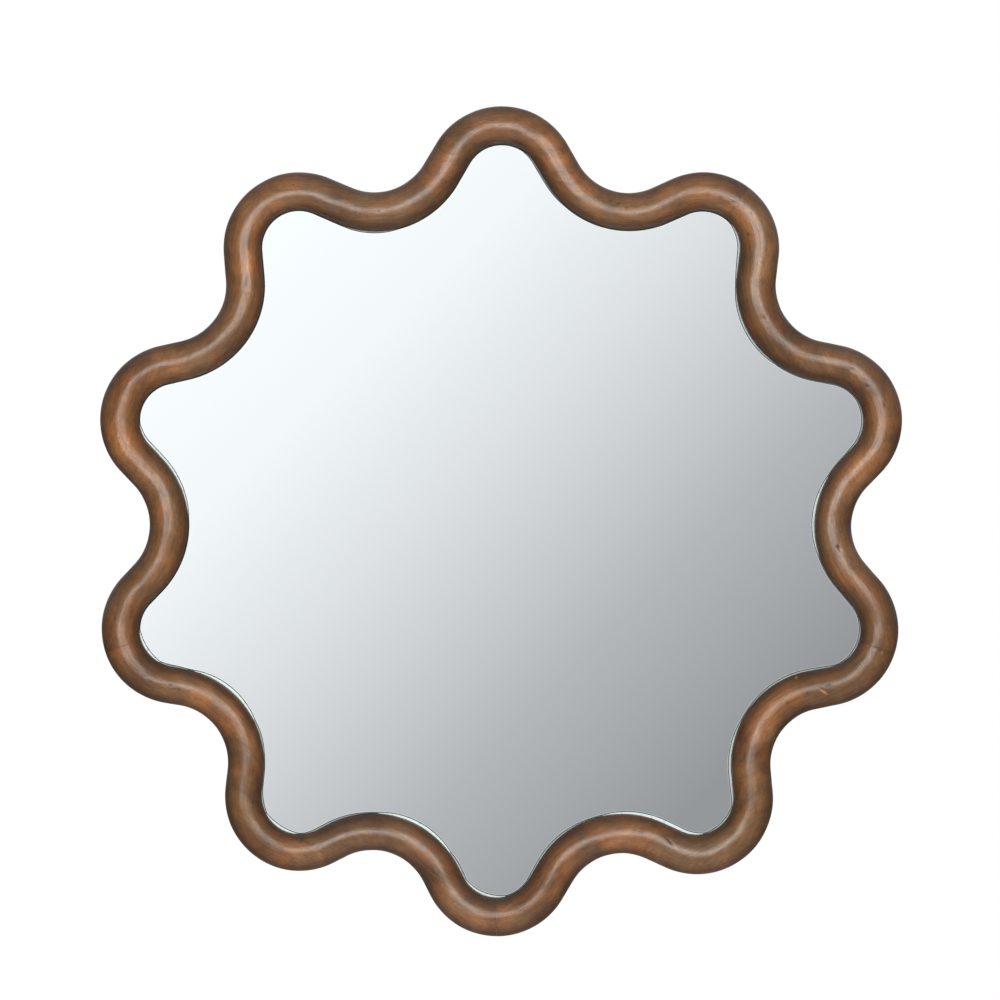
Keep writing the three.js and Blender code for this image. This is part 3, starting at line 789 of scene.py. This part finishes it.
def shaped_mesh(thing):
    """A new mesh of the shape that the object's modifiers or its curve give it."""
    bpy.context.view_layer.update()
    return bpy.data.meshes.new_from_object(thing.evaluated_get(bpy.context.evaluated_depsgraph_get()))


def finish_piece(name, mesh, materials, smooth_angle=40):
    work = bmesh.new()
    work.from_mesh(mesh)
    bmesh.ops.recalc_face_normals(work, faces=work.faces)
    work.to_mesh(mesh)
    work.free()
    for material in materials:
        mesh.materials.append(material)
    mesh.shade_smooth()
    mesh.set_sharp_from_angle(angle=math.radians(smooth_angle))
    return new_object(name, mesh)


def grid_faces(rows, columns, closed_rows, closed_columns):
    """Quads over a grid of points, row by row."""
    row = np.arange(rows if closed_rows else rows - 1)[:, None]
    column = np.arange(columns if closed_columns else columns - 1)[None, :]
    next_row = (row + 1) % rows
    next_column = (column + 1) % columns
    corners = [
        row * columns + column,
        row * columns + next_column,
        next_row * columns + next_column,
        next_row * columns + column,
    ]
    return np.stack([np.broadcast_to(c, corners[0].shape) for c in corners], axis=-1).reshape(-1, 4)


def set_values(piece, name, values, kind="FLOAT"):
    """A number at each point of the piece for its shader, or a vector of the kind FLOAT_VECTOR."""
    attribute = piece.data.attributes.new(name, kind, "POINT")
    field = "value" if kind == "FLOAT" else "vector"
    attribute.data.foreach_set(field, np.ascontiguousarray(values, np.float32).ravel())


def turned(name, profile, materials, steps=48, smooth_angle=40):
    """A piece turned about +Z from (radius, height) points that start and end on the axis."""
    angles = np.arange(steps) * 2 * np.pi / steps
    inner = np.array(profile[1:-1])
    rings = [
        [(radius * math.cos(a), radius * math.sin(a), height) for a in angles] for radius, height in inner
    ]
    points = [point for loop in rings for point in loop]
    points.append((0, 0, profile[0][1]))
    points.append((0, 0, profile[-1][1]))
    faces = grid_faces(len(rings), steps, False, True).tolist()
    last = (len(rings) - 1) * steps
    for i in range(steps):
        j = (i + 1) % steps
        faces.append([len(points) - 2, j, i])
        faces.append([len(points) - 1, last + i, last + j])
    return new_piece(name, points, faces, materials, smooth_angle)


def stands_for(piece, node):
    """The piece shows in place of a packed node, and moves with its body."""
    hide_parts(node)
    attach(piece, frame["nodes"][node]["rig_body"])


def dress_node(node, material):
    """A packed node keeps its own shape and gets a material."""
    mesh = frame["nodes"][node].data
    mesh.materials.clear()
    mesh.materials.append(material)


def nodes_starting(prefix):
    return sorted(name for name in frame["nodes"] if name.startswith(prefix))


# ---- The moulding ----


def moulding_section(ring):
    """The moulding's outline: out from the line, and forward from the back. Returned with its normals."""
    half = ring.width / 2
    shoulder = ring.depth - half
    rebate_floor = complex(ring.rebate_width - half, ring.rebate_depth)
    round_centre = complex(half - ring.back_round, ring.back_round)
    corners = [
        np.linspace(rebate_floor.real, round_centre.real, 8, endpoint=False),
        round_centre + polar(np.linspace(-90, 0, 5), ring.back_round),
        np.linspace(complex(half, ring.back_round), complex(half, shoulder), 8, endpoint=False)[1:],
        complex(0, shoulder) + polar(np.linspace(0, 180, 61), half),
        np.linspace(complex(-half, shoulder), rebate_floor - ring.rebate_width, 6, endpoint=False)[1:],
        np.linspace(rebate_floor - ring.rebate_width, rebate_floor, 6, endpoint=False),
        np.linspace(rebate_floor, rebate_floor.real, 4, endpoint=False),
    ]
    section = np.concatenate(corners)
    along = np.roll(section, -1) - np.roll(section, 1)
    return section, -1j * along / abs(along)


def ripple_field(distance, girth, seed):
    """Shallow waves over the face, along the moulding and round its girth, between about -1 and 1."""
    random = np.random.default_rng(seed)
    field = np.zeros(np.broadcast(distance, girth).shape)
    for _ in range(14):
        wavelength = random.uniform(0.022, 0.075)
        heading = random.normal(0, 0.5)
        phase = (distance * math.cos(heading) + girth * math.sin(heading)) * 2 * np.pi / wavelength
        field += np.sin(phase + random.uniform(0, 2 * np.pi))
    return field / math.sqrt(14)


def marks_at(points):
    """The depth and the tone that the small marks give at plane points."""
    depth = np.zeros(points.shape)
    tone = np.zeros(points.shape)
    for mark in MARKS:
        away = (points / MM - complex(mark.x, mark.z)) / polar(mark.turn)
        strength = np.exp(-((away.real / mark.along) ** 2) - (away.imag / mark.across) ** 2)
        depth += mark.depth * MM * strength
        tone += mark.tone * strength
    return depth, np.clip(tone, -1, 1)


def hand_shaped(ring, point, normal, place, section, outward):
    """The section at each station as the hand left it: fuller or leaner, astray, rippled and marked.

    Gives how far it stands out from the line and forward from the back, the way along the moulding and
    round its girth, and the tone of the marks.
    """
    half = ring.width / 2
    out = section.real
    forward = section.imag
    from_middle = (out / half) ** 2
    outer, inner = fullness(place)
    face = np.clip((forward - ring.rebate_depth - ring.face_start) / ring.face_rise, 0, 1)
    face = face * face * (3 - 2 * face)
    stray = ring.wander * waves(place, range(9, 34, 3), 11) * face
    shaped = out + from_middle * np.where(out > 0, outer, -inner) + stray * np.clip(1 - from_middle, 0, 1)
    distance = place * LOBE_RUN
    girth = np.angle(section - 1j * (ring.depth - half)) * half
    depth, tone = marks_at(point + shaped * normal)
    swell = (ring.ripple * ripple_field(distance, girth, 23) - depth) * face
    return shaped + outward.real * swell, forward + outward.imag * swell, distance, girth, tone * face


def moulding_segment(line, ring, index, material):
    """One segment, from the joint at the odd crest before its middle to the joint at the one after."""
    count = 4 * HALF_LOBE_STATIONS
    stations = np.arange(count + 1) + (2 * index - 1) * 2 * HALF_LOBE_STATIONS
    point = line.point[stations % len(line.point), None]
    normal = line.normal[stations % len(line.point), None]
    place = stations[:, None] / (2 * HALF_LOBE_STATIONS)
    section, outward = moulding_section(ring)
    shaped, risen, distance, girth, tone = hand_shaped(ring, point, normal, place, section, outward)

    # The ends stand back by half the glue line, and their edges are broken.
    glue = np.zeros((count + 1, 1))
    glue[[0, 1, -2, -1], 0] = 1, 0.4, -0.4, -1
    broken = np.zeros((count + 1, 1))
    broken[[0, -1]] = ring.joint_ease
    shaped = shaped - outward.real * broken
    risen = risen - outward.imag * broken
    plane = point + shaped * normal - 1j * normal * glue * ring.glue_line / 2
    points = np.stack([plane.real, -risen, plane.imag], axis=-1)

    columns = len(section)
    faces = grid_faces(count + 1, columns, False, True).tolist()
    faces.append(list(range(columns)))
    faces.append(list(range(count * columns, (count + 1) * columns)))
    piece = new_piece("moulding_" + SEGMENTS[index], points.reshape(-1, 3).tolist(), faces, [material], 50)

    # The grain runs straight from joint to joint, and each segment comes from another part of the plank.
    start, end = point[0, 0], point[-1, 0]
    grain = (plane - (start + end) / 2) / ((end - start) / abs(end - start))
    plank = np.stack([grain.real + 1.7 * index, grain.imag + 0.013 * index, risen + 0.011 * index], axis=-1)
    run = np.stack(np.broadcast_arrays(distance, girth, 0.1 * index), axis=-1)
    from_end = np.minimum(np.arange(count + 1), np.arange(count + 1)[::-1])[:, None]
    set_values(piece, "plank", plank, "FLOAT_VECTOR")
    set_values(piece, "run", run, "FLOAT_VECTOR")
    set_values(piece, "mark", tone)
    set_values(piece, "side", np.broadcast_to(np.abs(section.real) / (ring.width / 2), risen.shape))
    set_values(piece, "joint", np.broadcast_to(np.exp(-((from_end / 0.8) ** 2)), risen.shape))
    return piece


def build_moulding(ring, wood):
    line = RingLine(ring)
    material = stained_wood(wood)
    for index, name in enumerate(SEGMENTS):
        piece = moulding_segment(line, ring, index, material)
        stands_for(piece, "frame_" + name)


# ---- The glass ----


def sliver_at(place):
    """How wide the ground edge shows along the ring, in metres, and how brightly."""
    widened = np.clip(6 * np.sin((place - EDGE_FROM) / (EDGE_TO - EDGE_FROM) * np.pi), 0, 1)
    widened = np.where((place > EDGE_FROM) & (place < EDGE_TO), widened, 0)
    width = 0.05 + 0.35 * widened
    light = np.full(place.shape, 0.3)
    for sliver in SLIVERS:
        middle = (sliver.start + sliver.end) / 2
        away = (place - middle + 5) % 10 - 5
        lens = sliver.width * np.clip(1 - (2 * away / (sliver.end - sliver.start)) ** 2, 0, None) ** 0.8
        light = np.where(lens > width, sliver.light, light)
        width = np.maximum(width, lens)
    return width * MM, light


def fanned(name, loops, materials, bands, middle):
    """A disc of loops round the whole mirror, with one material for each band between two loops."""
    count = len(loops[0][0])
    points = np.concatenate([np.stack([plane.real, level, plane.imag], axis=-1) for plane, level in loops])
    faces = grid_faces(len(loops), count, False, True).tolist()
    points = np.concatenate([points, [[0, middle, 0]]])
    last = (len(loops) - 1) * count
    faces += [[len(points) - 1, last + i, last + (i + 1) % count] for i in range(count)]
    piece = new_piece(name, points.tolist(), faces, materials, 25)
    slots = np.repeat([*bands, bands[-1]], count).astype(np.int32)
    piece.data.polygons.foreach_set("material_index", slots)
    return piece


def build_glass(ring, glass):
    """The glass: its back, its side and the ground edge, and the mirror inside them."""
    line = RingLine(ring)
    _, inner = fullness(line.place)
    side = -(ring.width / 2 + inner + glass.play)
    width, light = sliver_at(line.place)
    edge_front = GLASS_FRONT + glass.arris + glass.edge_slope * width
    inside = side - width
    shadow = inside - glass.shadow_line
    # The painted highlight line lies just inside the painted shadow line.
    painted_highlight = shadow - glass.light_line
    flat = np.full(line.place.shape, GLASS_FRONT)
    back = np.full(line.place.shape, GLASS_BACK)
    edges = [(side, back), (side, edge_front), (inside, flat), (shadow, flat), (painted_highlight, flat)]
    shrink = (0.97, 0.9, 0.78, 0.6, 0.4, 0.2)
    loops = [(line.point + offset * line.normal, level) for offset, level in edges]
    rear = [(loops[0][0] * factor, back) for factor in shrink]
    body = fanned(
        "glass_body",
        [*reversed(loops[:3]), *rear],
        [back_paint(), ground_edge(glass)],
        [1, 1] + [0] * len(shrink),
        GLASS_BACK,
    )
    # The light value sets how much painted light and glow the ground edge gets.
    set_values(body, "light", np.concatenate([np.tile(light, 3 + len(rear)), [0]]))
    stands_for(body, "mirror_glass")
    face = fanned(
        "mirror_face",
        loops[2:] + [(loops[-1][0] * factor, flat) for factor in shrink],
        # The silvered face, then the painted highlight line, then the painted shadow line at its edge.
        [silvered_face(glass), painted_highlight_line(glass), painted_shadow_line()],
        [2, 1] + [0] * len(shrink),
        GLASS_FRONT,
    )
    face.parent = body


# ---- The hardware ----


def carved(piece, cutter):
    """The piece with the cutter taken out of it."""
    modifier = piece.modifiers.new("slot", "BOOLEAN")
    modifier.operation = "DIFFERENCE"
    modifier.solver = "EXACT"
    modifier.use_self = True
    modifier.object = cutter
    mesh = shaped_mesh(piece)
    piece.modifiers.remove(modifier)
    piece.data = mesh
    bpy.data.objects.remove(cutter)
    return piece


def cross_cutter(hardware):
    """Two crossed bars with tapered sides, for the slots in a screw's head."""
    work = bmesh.new()
    half = hardware.slot / 2
    reach = hardware.head * 0.3
    corners = ((-1, -1), (1, -1), (1, 1), (-1, 1))
    bottom = [(x * reach * 0.55, y * half * 0.7, -hardware.slot_depth) for x, y in corners]
    top = [(x * reach, y * half, 0.0004) for x, y in corners]
    for turn in (0, 90):
        matrix = Matrix.Rotation(math.radians(turn), 4, "Z")
        vertices = [work.verts.new(matrix @ Vector(corner)) for corner in bottom + top]
        work.faces.new([vertices[i] for i in (3, 2, 1, 0)])
        work.faces.new([vertices[i] for i in (4, 5, 6, 7)])
        for i in range(4):
            j = (i + 1) % 4
            work.faces.new([vertices[i], vertices[j], vertices[j + 4], vertices[i + 4]])
    mesh = bpy.data.meshes.new("cross")
    work.to_mesh(mesh)
    work.free()
    return new_object("cross", mesh)


def screw_mesh(name, hardware, shank_length, flat_head, material):
    """A screw with its head's top at the origin and its thread down -Z."""
    head = hardware.head / 2
    shank = hardware.screw / 2
    height = hardware.head_height
    ease = hardware.edge_ease
    if flat_head:
        crown = [(0, 0), (head - ease, 0), (head, -ease), (shank, -height)]
    else:
        angles = np.radians(np.linspace(90, 0, 8))
        crown = [(head * math.cos(a), (height * 0.75) * (math.sin(a) - 1)) for a in angles]
        crown += [(head, -height + ease), (head - ease, -height), (shank, -height)]
    core = shank * 0.72
    pitch = hardware.pitch
    thread = []
    depth = -height - 0.001
    bottom = -shank_length
    while depth - pitch > bottom + 0.003:
        steps = ((core, 0.45), (shank, 0.55), (shank, 0.65), (core, 1.0))
        thread += [(radius, depth - part * pitch) for radius, part in steps]
        depth -= pitch
    profile = crown + [(core, -height - 0.001)] + thread + [(core * 0.9, bottom + 0.002), (0, bottom)]
    piece = turned(name, profile, [material], 40, 30)
    return carved(piece, cross_cutter(hardware))


def on_the_back(node, depth):
    """Where a turned piece stands on the back: over the middle of its node, with its +Z out along +Y."""
    low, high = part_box(node)
    middle = (low + high) / 2
    return Matrix.Translation((middle.x, depth, middle.z)) @ Matrix.Rotation(math.radians(-90), 4, "X")


def set_copies(pattern, nodes):
    """A copy of the pattern for each node, with its head at the node's back, turned a little each time."""
    for i, node in enumerate(nodes):
        piece = new_object(node + "_finished", pattern.data)
        turn = Matrix.Rotation(i * 0.7, 4, "Z")
        piece.matrix_world = on_the_back(node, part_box(node)[1].y) @ turn
        stands_for(piece, node)
    bpy.data.objects.remove(pattern)


def build_screws(hardware):
    material = zinc_plate(hardware)
    for prefix, flat_head in (("board_screw_", True), ("hanger_screw_", False)):
        nodes = nodes_starting(prefix)
        low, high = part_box(nodes[0])
        pattern = screw_mesh(prefix + "pattern", hardware, high.y - low.y, flat_head, material)
        set_copies(pattern, nodes)


def plate_from_outline(name, loops, thickness, bevel, material):
    """A plate filled from closed outlines in its own XY plane, with softened edges."""
    curve = bpy.data.curves.new(name, "CURVE")
    curve.dimensions = "2D"
    curve.fill_mode = "BOTH"
    curve.extrude = thickness / 2 - bevel
    curve.bevel_depth = bevel
    curve.bevel_resolution = 2
    curve.offset = -bevel
    for loop in loops:
        spline = curve.splines.new("POLY")
        spline.points.add(len(loop) - 1)
        spline.points.foreach_set("co", np.array([(p.real, p.imag, 0, 1) for p in loop]).ravel())
        spline.use_cyclic_u = True
    shape = new_object(name, curve)
    mesh = shaped_mesh(shape)
    bpy.data.objects.remove(shape)
    work = bmesh.new()
    work.from_mesh(mesh)
    bmesh.ops.remove_doubles(work, verts=work.verts, dist=1e-6)
    work.to_mesh(mesh)
    work.free()
    mesh.materials.clear()
    return finish_piece(name, mesh, [material], 8)


def circle(centre, radius, steps=40):
    return centre + polar(np.arange(steps) * 360 / steps, radius)


def hanger_strap(side, hardware, material):
    """A hanger's flat strap, in the plane of the back, with a hole for each of its screws."""
    low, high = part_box("hanger_plate_" + side)
    screws = [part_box("hanger_screw_" + side + "_" + end) for end in ("upper", "lower")]
    holes = [(corners[0].z + corners[1].z) / 2 for corners in screws]
    middle = (low.x + high.x) / 2
    half = (high.x - low.x) / 2
    bar_height = high.z - (high.y - low.y) / 2
    tip = complex(0, low.z + half) + polar(np.linspace(180, 360, 33), half)
    outline = np.concatenate([tip, [complex(half, bar_height), complex(-half, bar_height)]])
    loops = [outline] + [circle(complex(0, z), hardware.strap_hole / 2) for z in holes]
    strap = plate_from_outline("strap_" + side, loops, hardware.strap, hardware.edge_ease, material)
    upright = Matrix.Rotation(math.radians(90), 4, "X")
    strap.data.transform(Matrix.Translation((middle, low.y + hardware.strap / 2, 0)) @ upright)
    return strap


def hanger_knuckle(side, hardware, material):
    """The strap's end, which goes on round the ring's bar until its lip is back at the strap."""
    low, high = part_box("hanger_plate_" + side)
    middle = (low.x + high.x) / 2
    roll = (high.y - low.y) / 2
    outside = polar(np.linspace(-90, 205, 48), roll)
    inside = polar(np.linspace(205, -90, 48), roll - hardware.strap)
    lead = complex(-0.002, -roll)
    section = np.concatenate([[lead], outside, inside, [lead + 1j * hardware.strap]])
    width = high.x - low.x
    knuckle = plate_from_outline("knuckle_" + side, [section], width, hardware.edge_ease, material)
    turn = Matrix(((0, 0, 1, 0), (0, 1, 0, 0), (-1, 0, 0, 0), (0, 0, 0, 1)))
    knuckle.data.transform(Matrix.Translation((middle, low.y + roll, high.z - roll)) @ turn)
    return knuckle


def hanging_ring(side, hardware, material):
    """A ring of round wire: a straight bar, two tight corners and a wide bow."""
    node = "hanger_ring_" + side
    low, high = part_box(node)
    wire = hardware.wire / 2
    half = (high.x - low.x) / 2 - wire
    corner = hardware.ring_corner
    top = high.z - wire
    bow = low.z + wire + half
    middle = (low.x + high.x) / 2
    parts = [
        complex(half - corner, top - corner) + polar(np.linspace(90, 0, 13), corner),
        complex(0, bow) + polar(np.linspace(0, -180, 57), half),
        complex(corner - half, top - corner) + polar(np.linspace(180, 90, 13), corner),
        np.linspace(complex(corner - half, top), complex(half - corner, top), 20, endpoint=False)[1:],
    ]
    line = np.concatenate(parts)
    heading = np.roll(line, -1) - np.roll(line, 1)
    outward = 1j * heading / abs(heading)
    turn = polar(np.arange(24) * 15, wire)
    plane = line[:, None] + outward[:, None] * turn.real[None, :]
    level = (low.y + high.y) / 2 + turn.imag[None, :] + np.zeros(plane.shape)
    points = np.stack([plane.real + middle, level, plane.imag], axis=-1).reshape(-1, 3)
    faces = grid_faces(len(line), 24, True, True).tolist()
    piece = new_piece("wire_ring_" + side, points.tolist(), faces, [material])
    stands_for(piece, node)


def build_hangers(hardware):
    material = zinc_plate(hardware)
    for side in ("left", "right"):
        strap = hanger_strap(side, hardware, material)
        knuckle = hanger_knuckle(side, hardware, material)
        knuckle.parent = strap
        stands_for(strap, "hanger_plate_" + side)
        hanging_ring(side, hardware, material)


def build_bumpers(back):
    """Rubber bumpers with a rounded front edge and a shallow dish."""
    nodes = nodes_starting("wall_bumper_")
    low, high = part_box(nodes[0])
    radius = (high.x - low.x) / 2
    height = high.y - low.y
    ease = back.bumper_round
    edge = complex(radius - ease, -ease) + polar(np.linspace(90, 0, 7), ease)
    profile = [(0, -0.0006), (radius * 0.35, -0.00045), (radius * 0.6, -0.0001), (radius * 0.68, 0)]
    profile += [(p.real, p.imag) for p in edge]
    profile += [(radius, -height + 0.0006), (radius + 0.0004, -height), (0, -height)]
    pattern = turned("bumper_pattern", profile, [black_rubber(back)], 56, 50)
    set_copies(pattern, nodes)


# ---- The stage ----


def softbox(name, place, width, height, power, seen=True):
    """A rectangular lamp that faces the middle of the mirror. If gloss shows it, its light is warm."""
    data = bpy.data.lights.new(name, "AREA")
    data.shape = "RECTANGLE"
    data.size = width
    data.size_y = height
    data.energy = power
    data.color = WARM_LIGHT if seen else (1, 1, 1)
    lamp = new_object(name, data)
    lamp.location = place
    lamp.rotation_euler = (-Vector(place)).to_track_quat("-Z", "Y").to_euler()
    lamp.visible_glossy = seen
    lamp.visible_transmission = seen
    lamp.visible_camera = False
    return lamp


def keep_out_of_mirror(lamps):
    """The silvered face doesn't reflect these lamps, though they stand in front of it."""
    left_out = bpy.data.collections.new("left_out_of_softboxes")
    left_out.objects.link(bpy.data.objects["mirror_face"])
    left_out.collection_objects[0].light_linking.link_state = "EXCLUDE"
    for lamp in lamps:
        lamp.light_linking.receiver_collection = left_out


def build_world(studio):
    """White behind the mirror, and for gloss a soft studio that darkens from upper left to lower right."""
    world = bpy.data.worlds.new("studio")
    bpy.context.scene.world = world
    s = Shader(world)
    way = s.add("ShaderNodeTexCoord", output=0)
    x = s.axis(way, 0)
    y = s.axis(way, 1)
    z = s.axis(way, 2)
    ahead = s.add("ShaderNodeMath", {"operation": "MAXIMUM"}, [-y, 0.05])
    slope = (x - z) / ahead * studio.camera_distance
    tones = s.ramp(slope + 0.5, (0.0, 1.03), (0.215, 0.965), (0.44, 0.775), (0.74, 0.490), (1.0, 0.325))
    off_axis = s.vector("DISTANCE", way, (0, -1, 0), output=1)
    around = s.ramp(z * 0.5 + 0.5, (0.0, 0.10), (0.34, 0.18), (0.60, 0.26), (1.0, 0.70))
    ahead_tones = s.mix(s.step(off_axis, 0.13, 0.42), tones, around)
    behind = s.ramp(z * 0.5 + 0.5, (0.0, 0.06), (0.44, 0.18), (0.58, 0.80), (1.0, 0.95))
    gloss = s.mix(s.step(y, -0.25, 0.10), ahead_tones, behind)
    path = s.add("ShaderNodeLightPath")
    tree = path.socket.node.outputs
    camera = Value(s, tree["Is Camera Ray"])
    diffuse = Value(s, tree["Is Diffuse Ray"])
    lit = s.mix(diffuse, gloss, s.ramp(z * 0.5 + 0.5, (0.3, 0.01), (0.8, 0.14)))
    seen = s.mix(camera, lit, 1.0)
    s.output(s.add("ShaderNodeBackground", None, {"Color": seen, "Strength": 1.0}), "ShaderNodeOutputWorld")


def build_floor(studio):
    """A pale round floor that fades to the white of the background."""
    s = new_shader("studio_floor")
    place = s.place()
    away = s.vector("LENGTH", place, output=1)
    fade = s.step(away, 0.35 * studio.floor_reach, 0.98 * studio.floor_reach)
    dust = s.noise(place, 3, 3)
    tone = s.mix(dust, studio.floor, scaled(studio.floor, 0.97))
    path = s.add("ShaderNodeLightPath")
    camera = Value(s, path.socket.node.outputs["Is Camera Ray"])
    matt = s.add("ShaderNodeBsdfPrincipled", None, {"Base Color": tone, "Roughness": 0.8})
    white = s.add("ShaderNodeEmission", None, {"Color": opaque(1.0), "Strength": 1.0})
    s.output(s.add("ShaderNodeMixShader", None, [fade * camera, matt, white]))
    steps = 96
    rims = [0.2, 0.5, 1.0]
    points = [(0, 0, 0)]
    for rim in rims:
        spokes = polar(np.arange(steps) * 360 / steps, rim * studio.floor_reach)
        points += [(p.real, p.imag, 0) for p in spokes]
    faces = [[0, 1 + i, 1 + (i + 1) % steps] for i in range(steps)]
    faces += (grid_faces(len(rims), steps, False, True) + 1).tolist()
    floor = new_piece("studio_floor", points, faces, [s.owner])
    floor.location.z = -studio.floor_drop


def build_camera(studio):
    data = bpy.data.cameras.new("camera")
    data.sensor_width = 36
    reach = studio.camera_distance + GLASS_FRONT
    data.lens = data.sensor_width * reach / studio.view_width
    camera = new_object("camera", data)
    camera.location = (studio.camera_right, -studio.camera_distance, studio.camera_up)
    camera.rotation_euler = (math.radians(90), 0, 0)
    bpy.context.scene.camera = camera


# ---- Operators and panel ----


class WAVYMIRROR_OT_moulding(bpy.types.Operator):
    """Shapes the five wooden segments of the ring"""

    bl_idname = "wavy_mirror.moulding"
    bl_label = "Moulding"

    def execute(self, context):
        build_moulding(context.scene.wavy_ring, context.scene.wavy_wood)
        return {"FINISHED"}


class WAVYMIRROR_OT_glass(bpy.types.Operator):
    """Cuts and silvers the glass"""

    bl_idname = "wavy_mirror.glass"
    bl_label = "Glass"

    def execute(self, context):
        build_glass(context.scene.wavy_ring, context.scene.wavy_glass)
        return {"FINISHED"}


class WAVYMIRROR_OT_backing(bpy.types.Operator):
    """Finishes the board, the tape and the dowels"""

    bl_idname = "wavy_mirror.backing"
    bl_label = "Board, tape and dowels"

    def execute(self, context):
        back = context.scene.wavy_back
        dress_node("backing_board", hardboard(back))
        tape = foam_tape(back)
        for node in nodes_starting("bonding_tape_"):
            dress_node(node, tape)
        dowel = beech(back)
        for node in nodes_starting("dowel_"):
            dress_node(node, dowel)
        return {"FINISHED"}


class WAVYMIRROR_OT_screws(bpy.types.Operator):
    """Sets the screws of the board and of the hangers"""

    bl_idname = "wavy_mirror.screws"
    bl_label = "Screws"

    def execute(self, context):
        build_screws(context.scene.wavy_hardware)
        return {"FINISHED"}


class WAVYMIRROR_OT_hangers(bpy.types.Operator):
    """Bends the two hangers and their rings"""

    bl_idname = "wavy_mirror.hangers"
    bl_label = "Hangers"

    def execute(self, context):
        build_hangers(context.scene.wavy_hardware)
        return {"FINISHED"}


class WAVYMIRROR_OT_bumpers(bpy.types.Operator):
    """Moulds the four rubber bumpers"""

    bl_idname = "wavy_mirror.bumpers"
    bl_label = "Bumpers"

    def execute(self, context):
        build_bumpers(context.scene.wavy_back)
        return {"FINISHED"}


class WAVYMIRROR_OT_stage(bpy.types.Operator):
    """Lays the floor and sets up the lamps, the background and the camera"""

    bl_idname = "wavy_mirror.stage"
    bl_label = "Stage"

    def execute(self, context):
        studio = context.scene.wavy_studio
        build_world(studio)
        build_floor(studio)
        right = softbox("softbox_right", (0.95, -2.8, 0.85), 1.0, 1.2, studio.right_power)
        left = softbox("softbox_left", (-0.85, -3.0, 0.15), 0.5, 1.2, studio.left_power)
        middle = softbox("softbox_middle", (0.05, -3.0, 0.30), 2.3, 1.2, studio.middle_power)
        keep_out_of_mirror([right, left, middle])
        softbox("front_lamp", (0, -4.5, 0.5), 1.5, 1.5, studio.front_power, seen=False)
        softbox("back_lamp", (0, 3.2, 1.6), 2.0, 2.0, studio.back_power, seen=False)
        build_camera(studio)
        context.scene.view_settings.view_transform = "Standard"
        return {"FINISHED"}


OPERATORS = (
    WAVYMIRROR_OT_moulding,
    WAVYMIRROR_OT_glass,
    WAVYMIRROR_OT_backing,
    WAVYMIRROR_OT_screws,
    WAVYMIRROR_OT_hangers,
    WAVYMIRROR_OT_bumpers,
    WAVYMIRROR_OT_stage,
)

SETTINGS = {
    "wavy_ring": RingSettings,
    "wavy_wood": WoodSettings,
    "wavy_glass": GlassSettings,
    "wavy_back": BackSettings,
    "wavy_hardware": HardwareSettings,
    "wavy_studio": StudioSettings,
}


class WAVYMIRROR_PT_sidebar(bpy.types.Panel):
    """Lists what the mirror is made of"""

    bl_label = "Wavy Mirror"
    bl_idname = "WAVYMIRROR_PT_sidebar"
    bl_space_type = "VIEW_3D"
    bl_region_type = "UI"
    bl_category = "Wavy Mirror"

    def draw(self, context):
        for operator in OPERATORS:
            self.layout.operator(operator.bl_idname)
        for name, group in SETTINGS.items():
            box = self.layout.box()
            box.label(text=group.__doc__)
            for setting in group.__annotations__:
                box.prop(getattr(context.scene, name), setting)


CLASSES = (*SETTINGS.values(), *OPERATORS, WAVYMIRROR_PT_sidebar)


def register():
    for each in CLASSES:
        bpy.utils.register_class(each)
    for name, group in SETTINGS.items():
        setattr(bpy.types.Scene, name, PointerProperty(type=group))


def unregister():
    for name in SETTINGS:
        delattr(bpy.types.Scene, name)
    for each in reversed(CLASSES):
        bpy.utils.unregister_class(each)


def main():
    register()
    for operator in OPERATORS:
        category, name = operator.bl_idname.split(".")
        getattr(getattr(bpy.ops, category), name)()


if __name__ == "__main__":
    main()
